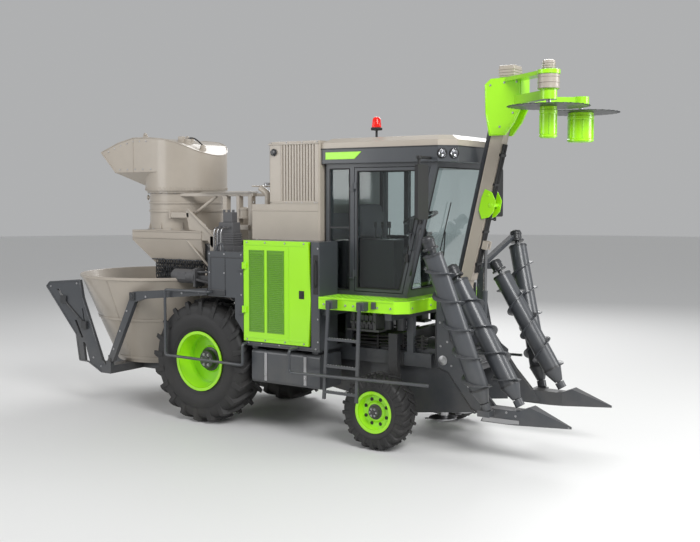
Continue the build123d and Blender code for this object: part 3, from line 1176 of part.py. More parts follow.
# ---------------------------------------------------------------- all the nodes
def nodes() -> dict[str, Callable[[], Part]]:
    """Every node's name with the function that makes it."""
    made = {
        "chassis_frame": chassis_frame, "engine_block": engine_block, "rear_axle": rear_axle,
        "front_axle": front_axle, "feed_channel": feed_channel, "front_frame": front_frame,
        "knockdown_roller": knockdown_roller, "engine_bay": engine_bay,
        "fuel_tank": lambda: tank(SIDES["right"], (570, 950)),
        "hydraulic_tank": lambda: tank(SIDES["left"], (570, 950)),
        "air_box": air_box, "radiator_box": radiator_box,
        "cab_shell": cab_shell, "cab_glass": cab_glass, "cab_door": cab_door,
        "cab_door_glass": cab_door_glass,
        "cab_roof": cab_roof, "roof_lamps": roof_lamps, "driver_seat": driver_seat,
        "cab_controls": cab_controls,
        "mirrors": mirrors, "cab_deck": cab_deck, "ladder": ladder, "guard_rails": guard_rails,
        "extractor_chamber": extractor_chamber, "extractor_ring": extractor_ring,
        "extractor_fan": extractor_fan,
        "extractor_hood": extractor_hood, "collection_tub": collection_tub, "tub_frame": tub_frame,
        "topper_boom": topper_boom, "topper_link": topper_link, "topper_head": topper_head,
        "boom_cylinder": boom_cylinder, "boom_rod": boom_rod,
    }
    for name, side in SIDES.items():
        made[f"side_panel_{name}"] = lambda side=side: side_panel(side)
        made[f"engine_cover_{name}"] = lambda side=side: engine_cover(side)
        made[f"rear_rim_{name}"] = lambda side=side: wheel_rim(side, **REAR_WHEEL, **REAR_DISH)
        made[f"rear_tyre_{name}"] = lambda side=side: wheel_tyre(side, **REAR_WHEEL)
        made[f"front_rim_{name}"] = lambda side=side: wheel_rim(side, **FRONT_WHEEL, **FRONT_DISH)
        made[f"front_tyre_{name}"] = lambda side=side: wheel_tyre(side, **FRONT_WHEEL)
        made[f"steering_knuckle_{name}"] = lambda side=side: steering_knuckle(side)
        made[f"base_cutter_{name}"] = lambda side=side: base_cutter(side)
        made[f"topper_rotor_{name}"] = lambda name=name: topper_rotor(name)
        made[f"crop_divider_{name}"] = lambda side=side: crop_divider(side)
        for kind in ("outer", "inner"):
            made[f"{kind}_scroll_{name}"] = lambda kind=kind, side=side: crop_scroll(kind, side)
    return made


def main() -> None:
    """Builds every node, moves it into the part's frame and writes its file."""
    os.makedirs("parts", exist_ok=True)
    for name, make in nodes().items():
        shape = Pos(-MIDDLE_X, 0, 0) * make()
        shape.label = name
        export_step(shape, f"parts/{name}.step")
        print(f"{name}: {len(shape.solids())} solids, {shape.volume / 1e9:.5f} m3")


if __name__ == "__main__":
    main()
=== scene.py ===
import logging
import math
from dataclasses import dataclass, field
from enum import Enum
from typing import Iterable, Optional, Sequence

import bpy
from mathutils import Matrix, Vector


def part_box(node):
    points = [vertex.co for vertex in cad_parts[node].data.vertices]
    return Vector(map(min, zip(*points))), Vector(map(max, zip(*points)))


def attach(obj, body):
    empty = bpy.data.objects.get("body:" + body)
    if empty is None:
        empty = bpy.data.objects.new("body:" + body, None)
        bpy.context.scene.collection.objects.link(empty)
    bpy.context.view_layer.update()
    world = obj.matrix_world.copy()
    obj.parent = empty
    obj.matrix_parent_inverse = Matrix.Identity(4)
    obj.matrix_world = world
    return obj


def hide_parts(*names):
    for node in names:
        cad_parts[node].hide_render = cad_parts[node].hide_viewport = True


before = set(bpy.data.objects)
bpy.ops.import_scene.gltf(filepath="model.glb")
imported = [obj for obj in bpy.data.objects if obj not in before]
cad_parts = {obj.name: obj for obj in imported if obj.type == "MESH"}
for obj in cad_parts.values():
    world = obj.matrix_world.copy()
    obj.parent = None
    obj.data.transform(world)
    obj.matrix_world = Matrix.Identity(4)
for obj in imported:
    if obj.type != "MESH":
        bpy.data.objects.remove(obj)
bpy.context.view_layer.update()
LOG = logging.getLogger("harvester")
SIDES: dict[str, int] = {"right": -1, "left": 1}
Point = tuple[float, float, float]
Seat = tuple[Vector, Vector]
FORWARD, LEFT, UP = Vector((1, 0, 0)), Vector((0, 1, 0)), Vector((0, 0, 1))


def node_middle(node: str) -> Vector:
    """Middle of a node's box at rest.

    Args:
        node: Name of the node.

    Returns:
        The middle point in metres.
    """
    low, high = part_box(node)
    return (Vector(low) + Vector(high)) / 2


AXLE_X: float = node_middle("rear_tyre_right").x


def at(x: float, y: float, z: float) -> Vector:
    """A point given by its station forward of the rear axle.

    Args:
        x: Distance forward of the rear axle in metres.
        y: Distance to the machine's left in metres.
        z: Height above the ground in metres.

    Returns:
        The point in the part's own frame.
    """
    return Vector((x + AXLE_X, y, z))


# ------------------------------------------------------------------------------ finishes
class Tone(Enum):
    """Paint and material colours, linear red, green and blue."""

    GREIGE = (0.41, 0.365, 0.31)
    LIME = (0.355, 0.82, 0.006)
    # Painted shade: the cover's lime darkened to stand for the shade inside the louvred grilles.
    LIME_LOUVRE_SHADE = (0.115, 0.33, 0.002)
    SLATE = (0.052, 0.057, 0.065)
    SLATE_DARK = (0.028, 0.03, 0.034)
    BLACK = (0.012, 0.012, 0.013)
    RUBBER = (0.016, 0.016, 0.017)
    STEEL = (0.42, 0.42, 0.43)
    CAST = (0.1, 0.1, 0.105)
    CLOTH = (0.02, 0.021, 0.024)
    RED = (0.75, 0.012, 0.008)
    DUST = (0.36, 0.31, 0.24)


class Groups:
    """Shader node groups shared by the finishes, each built once."""

    _made: dict[str, bpy.types.NodeTree] = {}

    @classmethod
    def _new(cls, name: str, inputs: Sequence[tuple[str, str, object]],
             outputs: Sequence[tuple[str, str]]) -> tuple[bpy.types.NodeTree, bpy.types.Node, bpy.types.Node]:
        """Starts a group with its sockets.

        Args:
            name: Name of the group.
            inputs: Name, socket type and default of each input.
            outputs: Name and socket type of each output.

        Returns:
            The tree with its input and output nodes.
        """
        tree = bpy.data.node_groups.new(name, "ShaderNodeTree")
        for label, kind, default in inputs:
            socket = tree.interface.new_socket(name=label, in_out="INPUT", socket_type=kind)
            if default is not None:
                socket.default_value = default
        for label, kind in outputs:
            tree.interface.new_socket(name=label, in_out="OUTPUT", socket_type=kind)
        entry = tree.nodes.new("NodeGroupInput")
        leave = tree.nodes.new("NodeGroupOutput")
        cls._made[name] = tree
        return tree, entry, leave

    @classmethod
    def weather(cls) -> bpy.types.NodeTree:
        """Masks of edge wear and settled dust, a slow colour drift and a softened normal.

        Returns:
            The node group.
        """
        if "weather" in cls._made:
            return cls._made["weather"]
        tree, entry, leave = cls._new("weather",
            [("Edge Radius", "NodeSocketFloat", 0.006), ("Wear", "NodeSocketFloat", 0.5),
            ("Dust", "NodeSocketFloat", 0.4)],
            [("Edge", "NodeSocketFloat"), ("Dust", "NodeSocketFloat"), ("Drift", "NodeSocketFloat"),
            ("Normal", "NodeSocketVector")])
        add, link = tree.nodes.new, tree.links.new
        coords = add("ShaderNodeTexCoord")
        shape = add("ShaderNodeNewGeometry")
        soft = add("ShaderNodeBevel")
        soft.samples = 4
        link(entry.outputs["Edge Radius"], soft.inputs["Radius"])
        match = add("ShaderNodeVectorMath")
        match.operation = "DOT_PRODUCT"
        link(soft.outputs["Normal"], match.inputs[0])
        link(shape.outputs["Normal"], match.inputs[1])
        edge = add("ShaderNodeMapRange")
        edge.inputs["From Min"].default_value = 0.985
        edge.inputs["From Max"].default_value = 0.86
        link(match.outputs["Value"], edge.inputs["Value"])
        chips = add("ShaderNodeTexNoise")
        chips.inputs["Scale"].default_value = 38
        chips.inputs["Detail"].default_value = 5
        link(coords.outputs["Object"], chips.inputs["Vector"])
        chip_mask = add("ShaderNodeMapRange")
        chip_mask.inputs["From Min"].default_value = 0.56
        chip_mask.inputs["From Max"].default_value = 0.66
        link(chips.outputs["Fac"], chip_mask.inputs["Value"])
        worn = add("ShaderNodeMath")
        worn.operation = "MULTIPLY"
        link(edge.outputs["Result"], worn.inputs[0])
        link(chip_mask.outputs["Result"], worn.inputs[1])
        amount = add("ShaderNodeMath")
        amount.operation = "MULTIPLY"
        link(worn.outputs["Value"], amount.inputs[0])
        link(entry.outputs["Wear"], amount.inputs[1])
        link(amount.outputs["Value"], leave.inputs["Edge"])
        split = add("ShaderNodeSeparateXYZ")
        link(coords.outputs["Object"], split.inputs["Vector"])
        low = add("ShaderNodeMapRange")
        low.inputs["From Min"].default_value = 1.5
        low.inputs["From Max"].default_value = 0.1
        low.inputs["To Max"].default_value = 0.75
        link(split.outputs["Z"], low.inputs["Value"])
        facing = add("ShaderNodeSeparateXYZ")
        link(shape.outputs["Normal"], facing.inputs["Vector"])
        up = add("ShaderNodeMapRange")
        up.inputs["From Min"].default_value = 0.5
        up.inputs["To Max"].default_value = 0.5
        link(facing.outputs["Z"], up.inputs["Value"])
        total = add("ShaderNodeMath")
        total.operation = "ADD"
        link(low.outputs["Result"], total.inputs[0])
        link(up.outputs["Result"], total.inputs[1])
        clouds = add("ShaderNodeTexNoise")
        clouds.inputs["Scale"].default_value = 2.6
        clouds.inputs["Detail"].default_value = 8
        clouds.inputs["Roughness"].default_value = 0.62
        link(coords.outputs["Object"], clouds.inputs["Vector"])
        patchy = add("ShaderNodeMapRange")
        patchy.inputs["From Min"].default_value = 0.34
        patchy.inputs["From Max"].default_value = 0.72
        link(clouds.outputs["Fac"], patchy.inputs["Value"])
        film = add("ShaderNodeMath")
        film.operation = "MULTIPLY"
        link(total.outputs["Value"], film.inputs[0])
        link(patchy.outputs["Result"], film.inputs[1])
        settled = add("ShaderNodeMath")
        settled.operation = "MULTIPLY"
        settled.use_clamp = True
        link(film.outputs["Value"], settled.inputs[0])
        link(entry.outputs["Dust"], settled.inputs[1])
        link(settled.outputs["Value"], leave.inputs["Dust"])
        link(clouds.outputs["Fac"], leave.inputs["Drift"])
        link(soft.outputs["Normal"], leave.inputs["Normal"])
        return tree

    @classmethod
    def grain(cls) -> bpy.types.NodeTree:
        """Fine surface relief of a chosen size.

        Returns:
            The node group.
        """
        if "grain" in cls._made:
            return cls._made["grain"]
        tree, entry, leave = cls._new(
            "grain", [("Scale", "NodeSocketFloat", 300.0), ("Stretch", "NodeSocketVector", (1.0, 1.0, 1.0))],
            [("Height", "NodeSocketFloat"), ("Value", "NodeSocketFloat")])
        add, link = tree.nodes.new, tree.links.new
        coords = add("ShaderNodeTexCoord")
        stretch = add("ShaderNodeVectorMath")
        stretch.operation = "MULTIPLY"
        link(coords.outputs["Object"], stretch.inputs[0])
        link(entry.outputs["Stretch"], stretch.inputs[1])
        noise = add("ShaderNodeTexNoise")
        noise.inputs["Detail"].default_value = 3
        link(stretch.outputs["Vector"], noise.inputs["Vector"])
        link(entry.outputs["Scale"], noise.inputs["Scale"])
        link(noise.outputs["Fac"], leave.inputs["Height"])
        link(noise.outputs["Fac"], leave.inputs["Value"])
        return tree

    @classmethod
    def weave(cls) -> bpy.types.NodeTree:
        """Plain weave of two crossing thread sets.

        Returns:
            The node group.
        """
        if "weave" in cls._made:
            return cls._made["weave"]
        tree, entry, leave = cls._new("weave", [("Scale", "NodeSocketFloat", 220.0)],
                                      [("Height", "NodeSocketFloat")])
        add, link = tree.nodes.new, tree.links.new
        coords = add("ShaderNodeTexCoord")
        waves = []
        for direction in ("X", "Z"):
            wave = add("ShaderNodeTexWave")
            wave.wave_type = "BANDS"
            wave.bands_direction = direction
            link(coords.outputs["Object"], wave.inputs["Vector"])
            link(entry.outputs["Scale"], wave.inputs["Scale"])
            waves.append(wave)
        both = add("ShaderNodeMath")
        both.operation = "MAXIMUM"
        link(waves[0].outputs["Fac"], both.inputs[0])
        link(waves[1].outputs["Fac"], both.inputs[1])
        link(both.outputs["Value"], leave.inputs["Height"])
        return tree


@dataclass(frozen=True)
class Finish:
    """A painted, moulded or bare surface with grain, drift, dust and edge wear.

    The worn colour shows at rubbed edges, and the relief is the depth of the grain.
    """

    name: str
    tone: Tone
    worn: Tone = Tone.STEEL
    roughness: float = 0.4
    metallic: float = 0.0
    coat: float = 0.0
    wear: float = 0.35
    dust: float = 0.25
    grain_scale: float = 260.0
    stretch: Point = (1.0, 1.0, 1.0)
    relief: float = 0.05
    edge_radius: float = 0.005
    drift: float = 0.12
    sheen: float = 0.0
    woven: bool = False

    def material(self) -> bpy.types.Material:
        """The finish's material, made at its first use.

        Returns:
            The material.
        """
        found = bpy.data.materials.get(self.name)
        if found:
            return found
        made = bpy.data.materials.new(self.name)
        made.use_nodes = True
        tree = made.node_tree
        tree.nodes.clear()
        add, link = tree.nodes.new, tree.links.new
        out = add("ShaderNodeOutputMaterial")
        surface = add("ShaderNodeBsdfPrincipled")
        link(surface.outputs["BSDF"], out.inputs["Surface"])
        surface.inputs["Metallic"].default_value = self.metallic
        surface.inputs["Coat Weight"].default_value = self.coat
        surface.inputs["Coat Roughness"].default_value = 0.12
        surface.inputs["Sheen Weight"].default_value = self.sheen
        weather = add("ShaderNodeGroup")
        weather.node_tree = Groups.weather()
        weather.inputs["Edge Radius"].default_value = self.edge_radius
        weather.inputs["Wear"].default_value = self.wear
        weather.inputs["Dust"].default_value = self.dust
        grain = add("ShaderNodeGroup")
        if self.woven:
            grain.node_tree = Groups.weave()
        else:
            grain.node_tree = Groups.grain()
            grain.inputs["Stretch"].default_value = self.stretch
        grain.inputs["Scale"].default_value = self.grain_scale
        shade = add("ShaderNodeMix")
        shade.data_type = "RGBA"
        shade.blend_type = "MIX"
        base = self.tone.value
        shade.inputs["A"].default_value = (*[c * (1 - self.drift) for c in base], 1)
        shade.inputs["B"].default_value = (*[min(1.0, c * (1 + self.drift)) for c in base], 1)
        link(weather.outputs["Drift"], shade.inputs["Factor"])
        dusty = add("ShaderNodeMix")
        dusty.data_type = "RGBA"
        dusty.inputs["B"].default_value = (*Tone.DUST.value, 1)
        link(shade.outputs["Result"], dusty.inputs["A"])
        link(weather.outputs["Dust"], dusty.inputs["Factor"])
        chipped = add("ShaderNodeMix")
        chipped.data_type = "RGBA"
        chipped.inputs["B"].default_value = (*self.worn.value, 1)
        link(dusty.outputs["Result"], chipped.inputs["A"])
        link(weather.outputs["Edge"], chipped.inputs["Factor"])
        link(chipped.outputs["Result"], surface.inputs["Base Color"])
        rough = add("ShaderNodeMath")
        rough.operation = "MULTIPLY_ADD"
        rough.inputs[1].default_value = 0.5
        rough.inputs[2].default_value = self.roughness
        rough.use_clamp = True
        link(weather.outputs["Dust"], rough.inputs[0])
        link(rough.outputs["Value"], surface.inputs["Roughness"])
        bump = add("ShaderNodeBump")
        bump.inputs["Strength"].default_value = self.relief
        bump.inputs["Distance"].default_value = 0.002
        link(grain.outputs["Height"], bump.inputs["Height"])
        link(weather.outputs["Normal"], bump.inputs["Normal"])
        link(bump.outputs["Normal"], surface.inputs["Normal"])
        return made


@dataclass(frozen=True)
class Clear:
    """Glass or a clear moulded lens, with a faint film of dirt."""

    name: str
    tint: Point = (0.8, 0.88, 0.88)
    roughness: float = 0.02
    glow: float = 0.0

    def material(self) -> bpy.types.Material:
        """The material, made at its first use.

        Returns:
            The material.
        """
        found = bpy.data.materials.get(self.name)
        if found:
            return found
        made = bpy.data.materials.new(self.name)
        made.use_nodes = True
        tree = made.node_tree
        surface = tree.nodes["Principled BSDF"]
        surface.inputs["Transmission Weight"].default_value = 1.0
        surface.inputs["IOR"].default_value = 1.45
        surface.inputs["Metallic"].default_value = 0.0
        film = tree.nodes.new("ShaderNodeTexNoise")
        film.inputs["Scale"].default_value = 3.2
        film.inputs["Detail"].default_value = 8
        coords = tree.nodes.new("ShaderNodeTexCoord")
        tree.links.new(coords.outputs["Object"], film.inputs["Vector"])
        ramp = tree.nodes.new("ShaderNodeMapRange")
        ramp.inputs["From Min"].default_value = 0.45
        ramp.inputs["From Max"].default_value = 0.8
        ramp.inputs["To Min"].default_value = self.roughness
        ramp.inputs["To Max"].default_value = self.roughness + 0.05
        tree.links.new(film.outputs["Fac"], ramp.inputs["Value"])
        tree.links.new(ramp.outputs["Result"], surface.inputs["Roughness"])
        tint = tree.nodes.new("ShaderNodeMix")
        tint.data_type = "RGBA"
        tint.inputs["A"].default_value = (*self.tint, 1)
        tint.inputs["B"].default_value = (*[c * 0.94 for c in self.tint], 1)
        tree.links.new(film.outputs["Fac"], tint.inputs["Factor"])
        tree.links.new(tint.outputs["Result"], surface.inputs["Base Color"])
        if self.glow:
            surface.inputs["Emission Color"].default_value = (*self.tint, 1)
            surface.inputs["Emission Strength"].default_value = self.glow
        return made


GREIGE = Finish("greige_paint", Tone.GREIGE, roughness=0.36, coat=0.25, dust=0.3)
LIME = Finish("lime_paint", Tone.LIME, roughness=0.3, coat=0.45, dust=0.16, drift=0.05)
# Painted shade: darkened lime for the louvred grilles, standing in for the shade between and behind the
# slats.
LIME_LOUVRE_SHADE = Finish("lime_louvre_painted_shade", Tone.LIME_LOUVRE_SHADE, roughness=0.36, coat=0.3, dust=0.18)
SLATE = Finish("slate_paint", Tone.SLATE, roughness=0.38, coat=0.25, dust=0.22)
SLATE_DARK = Finish("dark_slate_paint", Tone.SLATE_DARK, roughness=0.42, coat=0.15, dust=0.25)
STEEL = Finish("worn_steel", Tone.STEEL, roughness=0.33, metallic=1.0, wear=0.1, dust=0.15, grain_scale=90.0,
               stretch=(1.0, 1.0, 12.0), relief=0.12)
BRIGHT_ROD = Finish("ground_rod_steel", Tone.STEEL, roughness=0.12, metallic=1.0, wear=0.0, dust=0.03,
                    grain_scale=160.0, stretch=(1.0, 1.0, 9.0), relief=0.03)
CAST = Finish("rough_casting", Tone.CAST, roughness=0.62, wear=0.2, grain_scale=130.0, relief=0.35)
BOLT = Finish("zinc_bolt", Tone.STEEL, roughness=0.38, metallic=0.9, wear=0.0, dust=0.2, grain_scale=500.0,
              edge_radius=0.001)
RUBBER = Finish("tyre_rubber", Tone.RUBBER, worn=Tone.SLATE, roughness=0.58, wear=0.12, dust=0.07,
                grain_scale=420.0, relief=0.25, edge_radius=0.003)
SEAL = Finish("rubber_seal", Tone.BLACK, worn=Tone.SLATE, roughness=0.6, wear=0.1, grain_scale=600.0,
    relief=0.1, edge_radius=0.002)
PLASTIC = Finish("moulded_black_plastic", Tone.BLACK, worn=Tone.SLATE, roughness=0.5, wear=0.15,
    grain_scale=700.0, relief=0.2, edge_radius=0.003)
CLOTH = Finish("seat_cloth", Tone.CLOTH, worn=Tone.SLATE, roughness=0.9, wear=0.0, dust=0.1,
    grain_scale=240.0, relief=0.5, sheen=0.4, woven=True)
BOWL = Finish("lamp_bowl_chrome", Tone.STEEL, roughness=0.08, metallic=1.0, wear=0.0, dust=0.0, relief=0.0)
GLASS = Clear("cab_glass_clear")
LENS = Clear("lamp_lens_clear", tint=(0.95, 0.96, 0.98), glow=0.0)
BEACON = Clear("beacon_red_lens", tint=(0.85, 0.02, 0.01), roughness=0.12, glow=0.35)
MIRROR = Finish("mirror_silver", Tone.STEEL, roughness=0.03, metallic=1.0, wear=0.0, dust=0.0, relief=0.0)


# ------------------------------------------------------------------------------ bench
class Bench:
    """Adds, shapes and finishes meshes with Blender's own operators."""

    @staticmethod
    def clear() -> None:
        """Leaves edit mode and deselects everything."""
        if bpy.context.object and bpy.context.object.mode != "OBJECT":
            bpy.ops.object.mode_set(mode="OBJECT")
        bpy.ops.object.select_all(action="DESELECT")

    @classmethod
    def pick(cls, objects: Sequence[bpy.types.Object]) -> None:
        """Selects some objects and makes the first one active.

        Args:
            objects: The objects to select.
        """
        cls.clear()
        for obj in objects:
            obj.select_set(True)
        bpy.context.view_layer.objects.active = objects[0]

    @classmethod
    def apply(cls, objects: Sequence[bpy.types.Object]) -> None:
        """Puts the place, turn and size of objects into their meshes.

        Args:
            objects: The objects to settle.
        """
        cls.pick(objects)
        bpy.ops.object.transform_apply(location=True, rotation=True, scale=True)

    @classmethod
    def bevel(cls, obj: bpy.types.Object, width: float, segments: int = 2,
        angle: float = 30.0) -> bpy.types.Object:
        """Rounds an object's sharp edges with an applied modifier.

        Args:
            obj: The object.
            width: Width of the rounding in metres.
            segments: Faces across the rounding.
            angle: Edges sharper than this many degrees are rounded.

        Returns:
            The same object.
        """
        cls.pick([obj])
        rounding = obj.modifiers.new("rounding", "BEVEL")
        rounding.width = width
        rounding.segments = segments
        rounding.limit_method = "ANGLE"
        rounding.angle_limit = math.radians(angle)
        bpy.ops.object.modifier_apply(modifier=rounding.name)
        return obj

    @classmethod
    def drums(cls, *rows: tuple) -> list[bpy.types.Object]:
        """Drums from rows of two stations and then the drum's sizes."""
        return [cls.drum("drum", at(*low), at(*high), *sizes) for low, high, *sizes in rows]

    @classmethod
    def blocks(cls, *rows: tuple) -> list[bpy.types.Object]:
        """Blocks from rows of two corner stations and then the edge's rounding."""
        return [cls.block("block", at(*low), at(*high), *sizes) for low, high, *sizes in rows]

    @classmethod
    def smooth(cls, obj: bpy.types.Object, angle: float = 35.0) -> bpy.types.Object:
        """Shades an object smooth across its shallow edges.

        Args:
            obj: The object.
            angle: Limit in degrees.

        Returns:
            The same object.
        """
        cls.pick([obj])
        bpy.ops.object.shade_smooth_by_angle(angle=math.radians(angle))
        return obj

    @classmethod
    def block(cls, name: str, low: Sequence[float], high: Sequence[float], edge: float = 0.004,
              segments: int = 2) -> bpy.types.Object:
        """A box between two corners, with rounded edges.

        Args:
            name: Name of the piece.
            low: Lowest corner.
            high: Highest corner.
            edge: Rounding of the edges in metres.
            segments: Faces across the rounding.

        Returns:
            The new object.
        """
        cls.clear()
        low, high = Vector(low), Vector(high)
        lo = Vector(map(min, low, high))
        hi = Vector(map(max, low, high))
        bpy.ops.mesh.primitive_cube_add(size=1, location=(lo + hi) / 2)
        obj = bpy.context.object
        obj.name = name
        obj.scale = hi - lo
        cls.apply([obj])
        if edge:
            bpy.ops.object.mode_set(mode="EDIT")
            bpy.ops.mesh.select_all(action="SELECT")
            bpy.ops.mesh.bevel(offset=min(edge, min(hi - lo) * 0.45), segments=segments, affect="EDGES")
            bpy.ops.object.mode_set(mode="OBJECT")
        return obj

    @classmethod
    def drum(cls, name: str, start: Sequence[float], end: Sequence[float], radius: float, sides: int = 32,
             edge: float = 0.003, tip_radius: Optional[float] = None) -> bpy.types.Object:
        """A round bar or cone between two points, with rounded ends.

        Args:
            name: Name of the piece.
            start: Middle of the first end.
            end: Middle of the second end.
            radius: Radius at the first end.
            sides: Faces around.
            edge: Rounding of the end edges.
            tip_radius: Radius at the second end, the same as the first if left out.

        Returns:
            The new object.
        """
        cls.clear()
        a, b = Vector(start), Vector(end)
        axis = b - a
        bpy.ops.mesh.primitive_cone_add(vertices=sides, radius1=radius,
            radius2=radius if tip_radius is None else tip_radius, depth=axis.length, location=(a + b) / 2)
        obj = bpy.context.object
        obj.name = name
        obj.rotation_euler = axis.to_track_quat("Z", "Y").to_euler()
        cls.apply([obj])
        if edge:
            cls.bevel(obj, edge, 2, 40)
        return cls.smooth(obj)

    @classmethod
    def plate(cls, name: str, outline: Sequence[Vector], thickness: Vector,
        edge: float = 0.002) -> bpy.types.Object:
        """A flat plate: an outline of points extruded by a vector.

        Args:
            name: Name of the piece.
            outline: Corners of one face, in order.
            thickness: Direction and distance of the extrusion.
            edge: Rounding of the edges.

        Returns:
            The new object.
        """
        cls.clear()
        bpy.ops.mesh.primitive_circle_add(vertices=len(outline), fill_type="NGON")
        obj = bpy.context.object
        obj.name = name
        for vertex, corner in zip(obj.data.vertices, outline):
            vertex.co = corner
        bpy.ops.object.mode_set(mode="EDIT")
        bpy.ops.mesh.select_all(action="SELECT")
        bpy.ops.mesh.extrude_region_move(TRANSFORM_OT_translate={"value": tuple(thickness)})
        bpy.ops.mesh.select_all(action="SELECT")
        bpy.ops.mesh.normals_make_consistent(inside=False)
        bpy.ops.object.mode_set(mode="OBJECT")
        if edge:
            cls.bevel(obj, edge, 2, 40)
        return obj

    @classmethod
    def lathe(cls, name: str, outline: Sequence[tuple[float, float]], middle: Vector, axis: Vector,
        steps: int = 64, angle: float = 40.0) -> bpy.types.Object:
        """A turned piece: a closed outline of radius and height spun round an axis.

        Args:
            name: Name of the piece.
            outline: Radius and height along the axis of each point, in order.
            middle: A point on the axis, where the height is nought.
            axis: Direction of the axis.
            steps: Faces around.
            angle: Limit for smooth shading in degrees.

        Returns:
            The new object.
        """
        cls.clear()
        axis = axis.normalized()
        side = axis.orthogonal().normalized()
        bpy.ops.mesh.primitive_circle_add(vertices=len(outline), fill_type="NOTHING")
        obj = bpy.context.object
        obj.name = name
        for vertex, (radius, height) in zip(obj.data.vertices, outline):
            vertex.co = middle + side * radius + axis * height
        bpy.ops.object.mode_set(mode="EDIT")
        bpy.ops.mesh.select_all(action="SELECT")
        bpy.ops.mesh.spin(steps=steps, angle=math.tau, center=middle, axis=axis)
        bpy.ops.mesh.select_all(action="SELECT")
        bpy.ops.mesh.remove_doubles(threshold=1e-5)
        bpy.ops.mesh.dissolve_degenerate(threshold=1e-6)
        bpy.ops.mesh.select_all(action="SELECT")
        bpy.ops.mesh.normals_make_consistent(inside=False)
        bpy.ops.object.mode_set(mode="OBJECT")
        return cls.smooth(obj, angle)

    @classmethod
    def tube(cls, name: str, route: Sequence[Vector], radius: float, smooth: bool = True) -> bpy.types.Object:
        """A bent pipe or hose through some points.

        Args:
            name: Name of the piece.
            route: Points along it.
            radius: Its radius.
            smooth: True for a flowing line, False for straight runs.

        Returns:
            The new object, as a mesh.
        """
        cls.clear()
        bpy.ops.curve.primitive_nurbs_path_add()
        obj = bpy.context.object
        obj.name = name
        line = obj.data
        line.splines.clear()
        spline = line.splines.new("NURBS" if smooth else "POLY")
        spline.points.add(len(route) - 1)
        for point, place in zip(spline.points, route):
            point.co = (*place, 1)
        if smooth:
            spline.order_u = 3
            spline.use_endpoint_u = True
        line.resolution_u = 6
        line.bevel_depth = radius
        line.bevel_resolution = 3
        line.use_fill_caps = True
        obj.location = (0, 0, 0)
        cls.pick([obj])
        bpy.ops.object.convert(target="MESH")
        return cls.smooth(bpy.context.object, 50)

    @classmethod
    def join(cls, name: str, pieces: Sequence[bpy.types.Object]) -> bpy.types.Object:
        """Joins objects into one.

        Args:
            name: Name of the joined piece.
            pieces: The objects.

        Returns:
            The joined object.
        """
        cls.pick(pieces)
        if len(pieces) > 1:
            bpy.ops.object.join()
        obj = bpy.context.object
        obj.name = name
        return obj

    @classmethod
    def strew(cls, name: str, model: bpy.types.Object, places: Iterable[Matrix]) -> bpy.types.Object:
        """Copies a small model, built at the origin, to many places and joins the copies.

        Args:
            name: Name of the joined piece.
            model: The model, which is removed.
            places: One matrix for each copy.

        Returns:
            The joined object.
        """
        twins = []
        for place in places:
            twin = model.copy()
            twin.data = model.data.copy()
            bpy.context.collection.objects.link(twin)
            twin.matrix_world = place
            twins.append(twin)
        bpy.data.objects.remove(model)
        cls.apply(twins)
        return cls.join(name, twins)

    @classmethod
    def bolts(cls, name: str, seats: Sequence[Seat], size: float = 0.01) -> bpy.types.Object:
        """Hexagon bolt heads on washers.

        Args:
            name: Name of the joined piece.
            seats: Point and outward direction of each bolt.
            size: Half the width of a head in metres.

        Returns:
            The joined object.
        """
        head = cls.drum("head", (0, 0, 0), (0, 0, size * 0.95), size, 6, size * 0.12)
        washer = cls.drum("washer", (0, 0, -size * 0.1), (0, 0, size * 0.22), size * 1.35, 14, 0)
        bolt = cls.join("bolt", [head, washer])
        return cls.strew(name, bolt, [Matrix.Translation(point)
            @ normal.to_track_quat("Z", "Y").to_matrix().to_4x4() for point, normal in seats])


@dataclass
class Assembly:
    """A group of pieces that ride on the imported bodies."""

    bench: Bench = field(default_factory=Bench)

    def fit(self, obj: bpy.types.Object, finish: Finish | Clear, body: str, slot: str,
            replaces: Sequence[str] = ()) -> bpy.types.Object:
        """Dresses a finished piece and hands it to its body.

        Args:
            obj: The piece.
            finish: Its finish.
            body: The body it rides on.
            slot: The record's slot of its finish; not used.
            replaces: Nodes it stands for.

        Returns:
            The same piece.
        """
        obj.data.materials.clear()
        obj.data.materials.append(finish.material())
        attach(obj, body)
        if replaces:
            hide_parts(*replaces)
        LOG.info("%s rides on %s, %d faces", obj.name, body, len(obj.data.polygons))
        return obj

    def build(self) -> None:
        """Makes every piece of the assembly."""
        raise NotImplementedError


